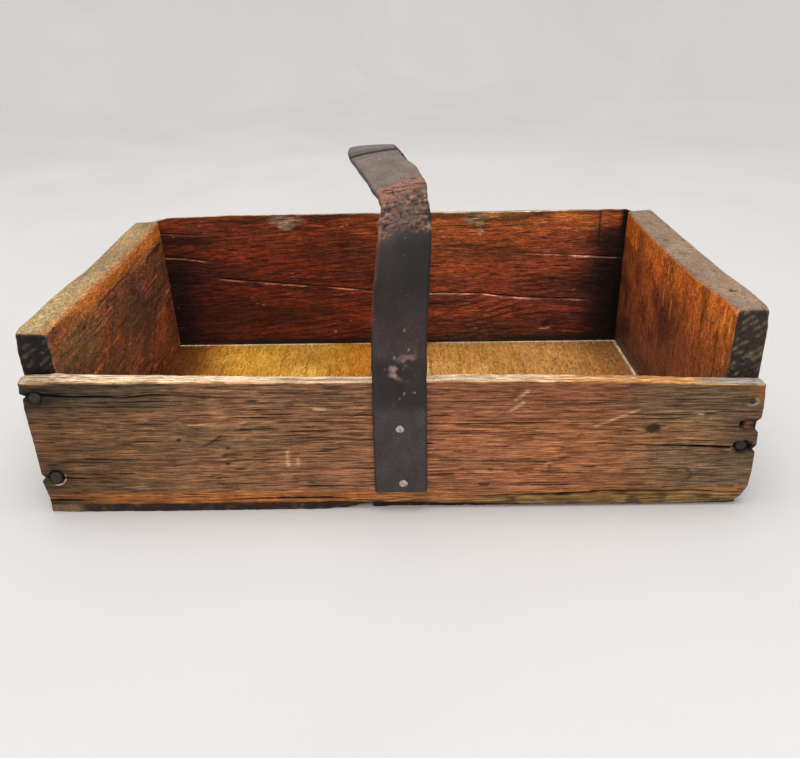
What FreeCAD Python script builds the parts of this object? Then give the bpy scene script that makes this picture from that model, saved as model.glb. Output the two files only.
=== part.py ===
import FreeCAD, Part
import math
import os
import Sketcher

# A hand-made wooden seed box with a leather strap handle. Millimetres, +Z up.
# X runs along the box, Y from its low front board to its high back board, and the
# origin is the middle of the underside, on the surface that the box stands on.

DIMENSIONS = [
    ("half_depth", 130.5, "half of the outer depth, front board's face to back board's face"),
    ("half_length", 211.9, "right end board's outer face from the middle"),
    ("left_foot", 207.1, "left end board's outer face from the middle, at the floor"),
    ("left_lean", 0.044, "outward lean of the left end board, per unit of height"),
    ("floor_thickness", 5.5, "bottom boards"),
    ("floor_joint", -12.5, "joint between the two bottom boards"),
    ("floor_gap", 0.6, "open joint between the two bottom boards"),
    ("right_floor_setback", 3.0, "front edge of the right bottom board, behind the front board's face"),
    ("front_thickness", 10.0, "front board"),
    ("front_inset", 1.2, "front board's left end, inside the left end board's outer face"),
    ("front_top_left", 88.5, "top of the front board at its left end"),
    ("front_top_right", 81.0, "top of the front board at its right end"),
    ("back_thickness", 11.0, "back board"),
    ("back_top_left", 119.0, "top of the back board at its left end"),
    ("back_top_right", 122.0, "top of the back board at its right end"),
    ("end_thickness", 19.0, "end boards"),
    ("left_end_front_top", 112.5, "top of the left end board at the front"),
    ("left_end_back_top", 115.0, "top of the left end board at the back"),
    ("right_end_front_top", 122.0, "top of the right end board at the front"),
    ("right_end_back_top", 118.0, "top of the right end board at the back"),
    ("strap_width", 30.8, "leather strap"),
    ("strap_thickness", 4.0, "leather strap"),
    ("strap_x", 4.9, "middle of the strap where it is nailed on"),
    ("front_tab_low", 14.2, "lower end of the strap on the front board"),
    ("front_root", 87.0, "height where the strap leaves the front board"),
    ("back_tab_low", 50.0, "lower end of the strap on the back board"),
    ("back_root", 124.0, "height where the strap leaves the back board"),
    ("flex_gap", 1.6, "space between two lengths of strap at a place where it flexes"),
    ("front_flex", 0.262, "front flexing place, as a share of the strap's free length"),
    ("back_flex", 0.745, "back flexing place, as a share of the strap's free length"),
    ("large_head", 7.6, "head diameter of the nails that hold the boards"),
    ("large_dome", 1.4, "height of their domed heads"),
    ("large_shank", 3.2, "diameter of their shanks"),
    ("large_length", 50.0, "their length"),
    ("small_head", 3.4, "head diameter of the finishing nail at the right end"),
    ("small_dome", 0.5, "height of its head"),
    ("small_shank", 1.6, "diameter of its shank"),
    ("small_length", 30.0, "its length"),
    ("tack_head", 5.4, "head diameter of the strap's tacks"),
    ("tack_dome", 1.2, "height of their heads"),
    ("tack_shank", 2.0, "diameter of their shanks"),
    ("tack_length", 12.5, "their length"),
    ("thin_head", 5.0, "head diameter of the thin nails in the bottom boards"),
    ("thin_dome", 0.8, "thickness of their heads, let into the wood"),
    ("thin_shank", 1.8, "diameter of their shanks"),
    ("thin_length", 24.0, "their length"),
    ("upper_left_x", -202.6, "upper nail at the left end of the front board"),
    ("upper_left_z", 76.9, "its height"),
    ("upper_left_recess", 8.0, "diameter of the recess that it sits in"),
    ("upper_left_sink", 1.6, "depth of that recess"),
    ("lower_left_x", -199.5, "lower nail at the left end of the front board"),
    ("lower_left_z", 24.9, "its height"),
    ("small_right_x", 205.8, "finishing nail at the right end of the front board"),
    ("small_right_z", 69.9, "its height"),
    ("lost_right_x", 207.4, "hole of a lost nail at the right end of the front board"),
    ("lost_right_z", 54.6, "its height"),
    ("lost_right_hole", 4.6, "its diameter"),
    ("lost_right_depth", 8.0, "its depth"),
    ("sunken_right_x", 205.2, "deeply sunk nail at the right end of the front board"),
    ("sunken_right_z", 39.6, "its height"),
    ("sunken_right_recess", 9.4, "diameter of its torn recess"),
    ("sunken_right_sink", 3.4, "depth of that recess"),
    ("back_nails_left_x", -200.0, "row of nails at the left end of the back board"),
    ("back_nails_right_x", 202.4, "row of nails at the right end of the back board"),
    ("back_nails_low", 28.0, "height of the lowest nail in those rows"),
    ("back_nails_pitch", 35.0, "spacing of the nails in those rows"),
    ("front_tack_upper_x", 4.9, "upper tack at the front"),
    ("front_tack_upper_z", 56.9, "its height"),
    ("front_tack_lower_x", 6.5, "lower tack at the front"),
    ("front_tack_lower_z", 20.4, "its height"),
    ("back_tack_upper_x", 4.6, "upper tack at the back"),
    ("back_tack_upper_z", 98.0, "its height"),
    ("back_tack_lower_x", 5.6, "lower tack at the back"),
    ("back_tack_lower_z", 60.0, "its height"),
    ("long_row_start", -170.0, "left nail of the two rows along the bottom"),
    ("long_row_pitch", 68.0, "spacing of those nails"),
    ("long_row_inset", 5.75, "their distance in from the front and back faces"),
    ("short_row_start", 70.0, "back nail of the two rows across the bottom"),
    ("short_row_pitch", 46.0, "spacing of those nails"),
    ("short_row_left_x", -198.0, "the row under the left end board"),
    ("short_row_right_x", 202.4, "the row under the right end board"),
]

# Middle line of the strap between its two roots: x, y, z, the turn of its width about
# the vertical and the tilt of its width, both in degrees. It leans to the left at its top.
STRAP_ROUTE = [
    (4.9, -132.5, 87.0, 0, 0),
    (5.0, -131.9, 103.0, 0, 0),
    (5.6, -128.8, 122.0, 2, 0),
    (7.2, -121.5, 143.0, 6, 0),
    (8.8, -110.5, 160.0, 12, 0),
    (8.9, -96.5, 171.8, 19, 2),
    (5.0, -75.5, 181.5, 22, 4),
    (-2.0, -51.5, 188.0, 17, 6),
    (-9.3, -26.5, 192.0, 10, 6),
    (-11.8, 0.0, 191.6, 2, 5),
    (-10.8, 30.0, 186.8, -5, 3),
    (-6.5, 61.5, 178.0, -9, 1),
    (-1.0, 90.0, 164.5, -8, 0),
    (3.0, 112.5, 149.5, -4, 0),
    (4.8, 126.8, 136.0, 0, 0),
    (5.2, 132.5, 124.0, 0, 0),
]

doc = FreeCAD.newDocument("seed_box")
sheet = doc.addObject("Spreadsheet::Sheet", "dims")
for row, (alias, value, meaning) in enumerate(DIMENSIONS, 1):
    sheet.set(f"A{row}", meaning)
    sheet.set(f"B{row}", str(value))
    sheet.setAlias(f"B{row}", alias)
doc.recompute()

FRONT_FACE = "-dims.half_depth"
BACK_FACE = "dims.half_depth"
TOWARDS_BACK = FreeCAD.Rotation(FreeCAD.Vector(1, 0, 0), 90)
TOWARDS_FRONT = FreeCAD.Rotation(FreeCAD.Vector(1, 0, 0), -90)
UPWARDS = FreeCAD.Rotation(FreeCAD.Vector(1, 0, 0), 180)


def number(expression):
    """The value of an expression over the spreadsheet, as a plain number."""
    return float(sheet.evalExpression(expression))


def origin_feature(body, role):
    return next(f for f in body.Origin.OriginFeatures if f.Role == role)


def outline(sketch, corners):
    """A closed straight-sided outline. Each corner is a pair of spreadsheet expressions."""
    points = [FreeCAD.Vector(number(a), number(b), 0) for a, b in corners]
    count = len(points)
    for i in range(count):
        sketch.addGeometry(Part.LineSegment(points[i], points[(i + 1) % count]), False)
    for i in range(count):
        sketch.addConstraint(Sketcher.Constraint("Coincident", i, 2, (i + 1) % count, 1))
    for i, corner in enumerate(corners):
        for kind, expression, value in zip(("DistanceX", "DistanceY"), corner, points[i]):
            at = sketch.addConstraint(Sketcher.Constraint(kind, -1, 1, i, 1, value))
            sketch.setExpression(f"Constraints[{at}]", expression)


def sketch_on(body, role, name, lift="0"):
    """A sketch on one of the body's own origin planes, lifted along the plane's normal."""
    sketch = body.newObject("Sketcher::SketchObject", name)
    sketch.AttachmentSupport = [(origin_feature(body, role), "")]
    sketch.MapMode = "FlatFace"
    sketch.setExpression("AttachmentOffset.Base.z", lift)
    return sketch


def slab(name, role, corners, lift, thickness, reverse):
    """A board of even thickness, padded from its outline."""
    body = doc.addObject("PartDesign::Body", name + "_body")
    sketch = sketch_on(body, role, name + "_outline", lift)
    outline(sketch, corners)
    pad = body.newObject("PartDesign::Pad", name + "_pad")
    pad.Profile = sketch
    pad.setExpression("Length", thickness)
    pad.Reversed = reverse
    doc.recompute()
    return body


def end_board(name, front_corners, back_corners):
    """An end board whose top is not level, lofted from its front profile to its back one."""
    body = doc.addObject("PartDesign::Body", name + "_body")
    front = sketch_on(body, "XZ_Plane", name + "_front", "dims.half_depth - dims.front_thickness")
    outline(front, front_corners)
    back = sketch_on(body, "XZ_Plane", name + "_back", "-(dims.half_depth - dims.back_thickness)")
    outline(back, back_corners)
    loft = body.newObject("PartDesign::AdditiveLoft", name + "_loft")
    loft.Profile = front
    loft.Sections = [back]
    loft.Ruled = True
    doc.recompute()
    return body


def sink(body, name, diameter, depth):
    """A round recess in the front board's face, at the place that the sheet has under name."""
    before = body.Shape.Volume
    sketch = sketch_on(body, "XZ_Plane", name + "_recess_outline", "dims.half_depth")
    centre = FreeCAD.Vector(number(f"dims.{name}_x"), number(f"dims.{name}_z"), 0)
    radius = number(diameter) / 2
    sketch.addGeometry(Part.Circle(centre, FreeCAD.Vector(0, 0, 1), radius), False)
    driven = [
        (Sketcher.Constraint("DistanceX", -1, 1, 0, 3, centre.x), f"dims.{name}_x"),
        (Sketcher.Constraint("DistanceY", -1, 1, 0, 3, centre.y), f"dims.{name}_z"),
        (Sketcher.Constraint("Diameter", 0, 2 * radius), diameter),
    ]
    for constraint, expression in driven:
        at = sketch.addConstraint(constraint)
        sketch.setExpression(f"Constraints[{at}]", expression)
    pocket = body.newObject("PartDesign::Pocket", name + "_pocket")
    pocket.Profile = sketch
    pocket.setExpression("Length", depth)
    pocket.Reversed = False
    doc.recompute()
    assert body.Shape.Volume < before - 1, name + " cuts nothing"


def nail(name, kind, at, aim, count=1, pitch="0", along="X_Axis"):
    """A nail, or an even row of them: domed head, shank and point. It is made with its head's
    underside on the local plane z = 0 and its point below, then aimed and put in place."""
    head, dome = f"dims.{kind}_head", f"dims.{kind}_dome"
    shank, length = f"dims.{kind}_shank", f"dims.{kind}_length"
    body = doc.addObject("PartDesign::Body", name)
    sketch = sketch_on(body, "XZ_Plane", name + "_profile")
    outline(
        sketch,
        [
            ("0", dome),
            (f"{head} * 0.3", dome),
            (f"{head} / 2", f"{dome} * 0.35"),
            (f"{head} / 2", "0"),
            (f"{shank} / 2", "0"),
            (f"{shank} / 2", f"2 * {shank} - {length}"),
            ("0", f"-{length}"),
        ],
    )
    turn = body.newObject("PartDesign::Revolution", name + "_turned")
    turn.Profile = sketch
    turn.ReferenceAxis = (sketch, ["V_Axis"])
    turn.Angle = 360
    if count > 1:
        pattern = body.newObject("PartDesign::LinearPattern", name + "_row")
        pattern.Originals = [turn]
        pattern.Direction = (origin_feature(body, along), [""])
        pattern.setExpression("Length", f"{pitch} * {count - 1}")
        pattern.Occurrences = count
        body.Tip = pattern
    body.Placement = FreeCAD.Placement(FreeCAD.Vector(*(number(e) for e in at)), aim)
    doc.recompute()
    assert len(body.Shape.Solids) == count, name + " has the wrong number of nails"
    return body


def grouped(name, members):
    group = doc.addObject("Part::Compound", name)
    group.Links = members
    return group


def bored(name, board, nails):
    """The board with the holes that its nails made."""
    cut = doc.addObject("Part::Cut", name)
    cut.Base = board
    cut.Tool = grouped(name + "_nails", nails)
    doc.recompute()
    assert cut.Shape.Volume < board.Shape.Volume - 1, name + " has no nail holes"
    return cut


# ---- boards ----

LEFT_FOOT = "-dims.left_foot"
RIGHT_INNER = "dims.half_length - dims.end_thickness"


def leaning(x, height):
    """The left end board's x at a height, for an x given at the floor."""
    return f"{x} - dims.left_lean * ({height} - dims.floor_thickness)"


def left_profile(top):
    inner = "-dims.left_foot + dims.end_thickness"
    low = "dims.floor_thickness"
    return [(LEFT_FOOT, low), (inner, low), (leaning(inner, top), top), (leaning(LEFT_FOOT, top), top)]


def right_profile(top):
    low, outer = "dims.floor_thickness", "dims.half_length"
    return [(RIGHT_INNER, low), (outer, low), (outer, top), (RIGHT_INNER, top)]


def wall_corners(inset, top_left, top_right):
    """Outline of the front or back board, which follows the left end board's lean."""
    left = f"-dims.left_foot + {inset}"
    low, right = "dims.floor_thickness", "dims.half_length"
    return [(left, low), (right, low), (right, top_right), (leaning(left, top_left), top_left)]


front_blank = slab(
    "front_blank",
    "XZ_Plane",
    wall_corners("dims.front_inset", "dims.front_top_left", "dims.front_top_right"),
    "dims.half_depth",
    "dims.front_thickness",
    True,
)
back_blank = slab(
    "back_blank",
    "XZ_Plane",
    wall_corners("0", "dims.back_top_left", "dims.back_top_right"),
    "-dims.half_depth",
    "dims.back_thickness",
    False,
)
left_blank = end_board(
    "left_blank", left_profile("dims.left_end_front_top"), left_profile("dims.left_end_back_top")
)
right_blank = end_board(
    "right_blank", right_profile("dims.right_end_front_top"), right_profile("dims.right_end_back_top")
)


def floor_corners(left, right, front):
    return [(left, front), (right, front), (right, BACK_FACE), (left, BACK_FACE)]


floor_left_blank = slab(
    "floor_left_blank",
    "XY_Plane",
    floor_corners(LEFT_FOOT, "dims.floor_joint - dims.floor_gap / 2", FRONT_FACE),
    "0",
    "dims.floor_thickness",
    False,
)
floor_right_blank = slab(
    "floor_right_blank",
    "XY_Plane",
    floor_corners(
        "dims.floor_joint + dims.floor_gap / 2",
        "dims.half_length",
        FRONT_FACE + " + dims.right_floor_setback",
    ),
    "0",
    "dims.floor_thickness",
    False,
)

# ---- strap ----

tab_left = "dims.strap_x - dims.strap_width / 2"
tab_right = "dims.strap_x + dims.strap_width / 2"


def tab(name, low, root, lift, reverse):
    """The flat length of the strap that is nailed to a board."""
    high = f"{root} - dims.flex_gap / 2"
    corners = [(tab_left, low), (tab_right, low), (tab_right, high), (tab_left, high)]
    return slab(name, "XZ_Plane", corners, lift, "dims.strap_thickness", reverse)


front_tab_blank = tab("front_tab_blank", "dims.front_tab_low", "dims.front_root", "dims.half_depth", False)
back_tab_blank = tab("back_tab_blank", "dims.back_tab_low", "dims.back_root", "-dims.half_depth", True)


def across(turn, tilt):
    """Unit vector along the strap's width."""
    flat = FreeCAD.Vector(math.cos(math.radians(turn)), math.sin(math.radians(turn)), 0)
    return (flat + FreeCAD.Vector(0, 0, math.tan(math.radians(tilt)))).normalize()


def strap_edges():
    """The curves that the strap's left and right edges follow, with the length as parameter."""
    middles = [FreeCAD.Vector(*point[:3]) for point in STRAP_ROUTE]
    lengths = [0.0]
    for a, b in zip(middles, middles[1:]):
        lengths.append(lengths[-1] + (b - a).Length)
    curves = []
    for side in (-1, 1):
        reach = side * number("dims.strap_width") / 2
        points = [m + across(*p[3:]) * reach for m, p in zip(middles, STRAP_ROUTE)]
        curve = Part.BSplineCurve()
        curve.interpolate(
            Points=points,
            Parameters=lengths,
            InitialTangent=FreeCAD.Vector(0, 0, 1),
            FinalTangent=FreeCAD.Vector(0, 0, -1),
            Scale=False,
        )
        curves.append(curve)
    return curves, lengths[-1]


(left_edge, right_edge), free_length = strap_edges()


def strap_section(name, at):
    """The strap's cross-section at a length along it, square to its middle line."""
    left, right = left_edge.value(at), right_edge.value(at)
    forward = (left_edge.getD1(at)[1] + right_edge.getD1(at)[1]).normalize()
    width = (right - left).normalize()
    face = forward.cross(width).normalize()
    width = face.cross(forward)
    middle = (left + right) / 2
    sketch = doc.addObject("Sketcher::SketchObject", name)
    half_width, half_thick = "dims.strap_width / 2", "dims.strap_thickness / 2"
    outline(
        sketch,
        [
            (f"-{half_width}", f"-{half_thick}"),
            (half_width, f"-{half_thick}"),
            (half_width, half_thick),
            (f"-{half_width}", half_thick),
        ],
    )
    sketch.Placement = FreeCAD.Placement(middle, FreeCAD.Rotation(width, face, forward, "ZXY"))
    return sketch


def strap_length(name, start, end, sections):
    """A bent length of the strap between two distances along it."""
    step = (end - start) / (sections - 1)
    loft = doc.addObject("Part::Loft", name)
    loft.Sections = [strap_section(f"{name}_{i}", start + i * step) for i in range(sections)]
    loft.Solid = True
    loft.Ruled = False
    doc.recompute()
    return loft


half_gap = number("dims.flex_gap") / 2
front_flex = number("dims.front_flex") * free_length
back_flex = number("dims.back_flex") * free_length
strap_front_leg = strap_length("strap_front_leg", half_gap, front_flex - half_gap, 6)
strap_grip = strap_length("strap_grip", front_flex + half_gap, back_flex - half_gap, 9)
strap_rear_leg = strap_length("strap_rear_leg", back_flex + half_gap, free_length - half_gap, 6)

# ---- nails and tacks ----

sink(front_blank, "upper_left", "dims.upper_left_recess", "dims.upper_left_sink")
sink(front_blank, "sunken_right", "dims.sunken_right_recess", "dims.sunken_right_sink")
sink(front_blank, "lost_right", "dims.lost_right_hole", "dims.lost_right_depth")


def front_nail(name, kind, place, sunk="0"):
    at = (f"dims.{place}_x", f"{FRONT_FACE} + {sunk}", f"dims.{place}_z")
    return nail(name, kind, at, TOWARDS_BACK)


front_left_upper_nail = front_nail("front_left_upper_nail", "large", "upper_left", "dims.upper_left_sink")
front_left_lower_nail = front_nail("front_left_lower_nail", "large", "lower_left")
front_right_small_nail = front_nail("front_right_small_nail", "small", "small_right")
front_right_sunken_nail = front_nail(
    "front_right_sunken_nail", "large", "sunken_right", "dims.sunken_right_sink"
)


def back_nails(name, x):
    """Three nails through the back board, from the top one down."""
    at = (x, BACK_FACE, "dims.back_nails_low + 2 * dims.back_nails_pitch")
    return nail(name, "large", at, TOWARDS_FRONT, 3, "dims.back_nails_pitch", "Y_Axis")


back_left_nails = back_nails("back_left_nails", "dims.back_nails_left_x")
back_right_nails = back_nails("back_right_nails", "dims.back_nails_right_x")


def tacks(name, place, face, aim):
    """The two tacks at one end of the strap, an upper and a lower one."""
    pair = []
    for which in ("upper", "lower"):
        at = (f"dims.{place}_tack_{which}_x", face, f"dims.{place}_tack_{which}_z")
        pair.append(nail(f"{place}_{which}_tack", "tack", at, aim))
    return grouped(name, pair)


strap_front_tacks = tacks("strap_front_tacks", "front", f"{FRONT_FACE} - dims.strap_thickness", TOWARDS_BACK)
strap_rear_tacks = tacks("strap_rear_tacks", "back", f"{BACK_FACE} + dims.strap_thickness", TOWARDS_FRONT)


def floor_nails(name, x, y, count, pitch, along):
    """A row of thin nails up through the bottom boards, their heads let into the wood."""
    return nail(name, "thin", (x, y, "dims.thin_dome"), UPWARDS, count, pitch, along)


def long_row(name, y):
    return floor_nails(name, "dims.long_row_start", y, 6, "dims.long_row_pitch", "X_Axis")


def short_row(name, x):
    return floor_nails(name, x, "dims.short_row_start", 4, "dims.short_row_pitch", "Y_Axis")


bottom_front_nails = long_row("bottom_front_nails", f"{FRONT_FACE} + dims.long_row_inset")
bottom_back_nails = long_row("bottom_back_nails", f"{BACK_FACE} - dims.long_row_inset")
bottom_left_nails = short_row("bottom_left_nails", "dims.short_row_left_x")
bottom_right_nails = short_row("bottom_right_nails", "dims.short_row_right_x")

# ---- boards and tabs with their nail holes ----

floor_rows = [bottom_front_nails, bottom_back_nails, bottom_left_nails, bottom_right_nails]
left_front_nails = [front_left_upper_nail, front_left_lower_nail]
right_front_nails = [front_right_small_nail, front_right_sunken_nail]
front_nails = left_front_nails + right_front_nails
left_nails = left_front_nails + [back_left_nails, bottom_left_nails]
right_nails = right_front_nails + [back_right_nails, bottom_right_nails]
back_board_nails = [back_left_nails, back_right_nails, strap_rear_tacks, bottom_back_nails]

pieces = [
    bored("front_board", front_blank, front_nails + [strap_front_tacks, bottom_front_nails]),
    bored("back_board", back_blank, back_board_nails),
    bored("left_end_board", left_blank, left_nails),
    bored("right_end_board", right_blank, right_nails),
    bored("bottom_board_left", floor_left_blank, floor_rows),
    bored("bottom_board_right", floor_right_blank, floor_rows),
    bored("strap_front_tab", front_tab_blank, [strap_front_tacks]),
    bored("strap_rear_tab", back_tab_blank, [strap_rear_tacks]),
    strap_front_leg,
    strap_grip,
    strap_rear_leg,
    strap_front_tacks,
    strap_rear_tacks,
    back_left_nails,
    back_right_nails,
]
pieces += front_nails + floor_rows

doc.recompute()
for thing in doc.Objects:
    assert not {"Invalid", "Error"} & set(thing.State), thing.Name + " failed"

os.makedirs("parts", exist_ok=True)
for piece in pieces:
    shape = piece.Shape
    assert not shape.isNull() and shape.isValid() and shape.Solids, piece.Label + " has no good shape"
    shape.exportStep(f"parts/{piece.Label}.step")
    print(piece.Label, len(shape.Solids), "solids", round(shape.Volume / 1000, 2), "cm3")

places = {"front root": 0.0, "front flex": front_flex, "back flex": back_flex, "back root": free_length}
for name, at in places.items():
    middle = (left_edge.value(at) + right_edge.value(at)) / 2
    print(name, [round(v, 2) for v in middle])
print("strap's free length", round(free_length, 1))
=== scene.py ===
import math
from itertools import product

import bpy
import numpy as np
from mathutils import Matrix, Vector


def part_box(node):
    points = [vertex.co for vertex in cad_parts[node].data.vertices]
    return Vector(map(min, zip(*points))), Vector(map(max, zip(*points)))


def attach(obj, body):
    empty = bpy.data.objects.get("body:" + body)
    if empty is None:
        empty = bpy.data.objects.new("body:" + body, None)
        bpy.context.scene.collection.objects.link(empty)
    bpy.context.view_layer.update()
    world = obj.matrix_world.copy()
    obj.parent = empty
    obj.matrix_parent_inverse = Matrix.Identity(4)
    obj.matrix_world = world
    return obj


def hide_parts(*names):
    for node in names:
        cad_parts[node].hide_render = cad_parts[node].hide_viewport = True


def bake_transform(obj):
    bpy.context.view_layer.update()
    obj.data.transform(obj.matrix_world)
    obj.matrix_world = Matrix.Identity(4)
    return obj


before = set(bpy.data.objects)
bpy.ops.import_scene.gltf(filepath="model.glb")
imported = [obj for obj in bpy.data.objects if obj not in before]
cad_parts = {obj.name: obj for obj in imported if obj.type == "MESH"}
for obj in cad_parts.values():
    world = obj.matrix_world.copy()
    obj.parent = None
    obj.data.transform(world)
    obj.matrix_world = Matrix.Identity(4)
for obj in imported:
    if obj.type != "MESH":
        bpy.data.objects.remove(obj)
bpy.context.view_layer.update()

# An old hand-made seed box with a leather strap handle. Shapes are worked out in
# millimetres: x from the middle of the box, y from its middle towards the back board,
# and z from the surface that it stands on.
MM = 0.001


def extent(node):
    """Lowest and highest corner of a CAD node in millimetres."""
    low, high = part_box(node)
    return np.array(low) / MM, np.array(high) / MM


# ---- noise, curves and colours ----

TABLE = np.random.default_rng(5).random(1 << 16)


def noise(points, size, seed=0):
    """Smooth noise from -1 to 1, with blobs of the given size along each axis."""
    cells = points / np.asarray(size, float)
    base = np.floor(cells).astype(np.int64)
    part = cells - base
    part = part * part * (3 - 2 * part)
    total = np.zeros(len(points))
    for corner in product((0, 1), repeat=3):
        i, j, k = (base + corner).T
        weight = np.where(corner, part, 1 - part).prod(axis=1)
        total += weight * TABLE[(i * 73856093 ^ j * 19349663 ^ k * 83492791 ^ seed * 7919) & 0xFFFF]
    return 2 * total - 1


def rough(points, size, seed=0):
    """Noise with two finer layers on it."""
    size = np.asarray(size, float)
    layers = [noise(points, size / 2**i, seed + i) / 2**i for i in range(3)]
    return sum(layers) / 1.75


def ramp(values, start, end):
    """Smooth rise from 0 at start to 1 at end."""
    t = np.clip((values - start) / (end - start), 0, 1)
    return t * t * (3 - 2 * t)


def along(values, points):
    """Straight runs through given points."""
    return np.interp(values, *zip(*points))


def spot(p, centre, reach, soft=0.4):
    """1 inside an ellipse with the given half-widths, fading to 0 round its edge."""
    distance = np.sqrt((((p[:, :2] - centre) / reach) ** 2).sum(axis=1))
    return ramp(distance, 1 + soft, 1 - soft)


def stroke(p, start, end, width):
    """1 along a straight line on a wide face, fading to 0 at width from it."""
    start, run = np.array(start, float), np.subtract(end, start)
    share = np.clip((p[:, :2] - start) @ run / (run @ run), 0, 1)[:, None]
    return ramp(np.linalg.norm(p[:, :2] - start - share * run, axis=1), width, width * 0.4)


def shade(red, green, blue):
    """A colour as the eye reads it, 0 to 255, as linear light."""
    return np.array([(c / 255 / 12.92) if c < 11 else ((c / 255 + 0.055) / 1.055) ** 2.4 for c in (red,
        green, blue)])


def tint(colours, other, mask):
    return colours + (shade(*other) - colours) * np.clip(mask, 0, 1)[:, None]


def balanced(colours, at, gains):
    """Colours multiplied by gains that change with place. Each row is a place and three gains."""
    table = np.array(gains, float)
    return colours * np.column_stack([np.interp(at, table[:, 0], table[:, i]) for i in (1, 2, 3)])


# ---- meshes ----


def make_mesh(name, points, faces, colours, dark, material, sharp=(), turned=None):
    """A smooth mesh in metres. tone is its painted colour, with painted light and shade in places, dark marks
    cracks, dirt and the painted shade in the strap's crease, and turned is 1 where the grain runs along the
    board's length."""
    mesh = bpy.data.meshes.new(name)
    mesh.from_pydata((points * MM).tolist(), [], faces)
    mesh.shade_smooth()
    tone = mesh.attributes.new("tone", "FLOAT_COLOR", "POINT")
    tone.data.foreach_set("color",
        np.column_stack([colours, np.ones(len(points))]).astype(np.float32).ravel())
    mesh.attributes.new("dark", "FLOAT", "POINT").data.foreach_set("value", dark.astype(np.float32))
    if turned is not None:
        mesh.attributes.new("turned", "FLOAT", "POINT").data.foreach_set("value", turned.astype(np.float32))
    if len(sharp):
        hard = {tuple(sorted(e)) for e in sharp}
        flags = [tuple(sorted(e.vertices)) in hard for e in mesh.edges]
        mesh.attributes.new("sharp_edge", "BOOLEAN", "EDGE").data.foreach_set("value", flags)
    mesh.materials.append(material)
    piece = bpy.data.objects.new(name, mesh)
    bpy.context.scene.collection.objects.link(piece)
    return piece


EDGE_LINES = (0.15, 0.4, 0.8, 1.3, 2.0, 3.0)
CRACK_LINES = (0.0, 0.3, 0.7, 1.3)


def lattice_lines(low, high, step, marks):
    """Lines through the marks, with even steps between them."""
    kept = [low]
    for mark in sorted([*marks, *(low + e for e in EDGE_LINES), *(high - e for e in EDGE_LINES)]):
        if kept[-1] + 0.12 < mark < high - 0.12:
            kept.append(mark)
    kept.append(high)
    result = [low]
    for a, b in zip(kept, kept[1:]):
        count = max(1, math.ceil((b - a) / step))
        result += [a + (b - a) * i / count for i in range(1, count + 1)]
    return np.array(result)


def shell(lines):
    """Places and quads of a box's surface cut by lattice lines."""
    counts = [len(line) for line in lines]
    outer = np.ones(counts, bool)
    outer[1:-1, 1:-1, 1:-1] = False
    place = np.argwhere(outer)
    index = np.zeros(counts, int)
    index[outer] = np.arange(len(place))
    quads = []
    for axis in range(3):
        for end in (0, -1):
            face = np.take(index, end, axis=axis)
            quad = np.stack([face[:-1, :-1], face[1:, :-1], face[1:, 1:], face[:-1, 1:]], -1).reshape(-1, 4)
            quads.append(quad if (axis == 1) == (end == 0) else quad[:, ::-1])
    return place, np.vstack(quads)


def stretched(values, knots, targets):
    """Moves values that lie between two knots to the same share between their targets."""
    knots = np.asarray(knots)
    low = np.clip(np.searchsorted(knots, values, side="right") - 1, 0, len(knots) - 2)
    share = (values - knots[low]) / (knots[low + 1] - knots[low])
    rows = np.arange(len(values))
    return targets[rows, low] * (1 - share) + targets[rows, low + 1] * share


class Crack:
    """A crack that runs with the grain. path gives its height and width how far it is open,
    both along the board."""

    def __init__(self, path, width, depth=2.5):
        self.path, self.width, self.depth = path, width, depth
        self.middle = float(np.mean([height for _, height in path]))


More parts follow.
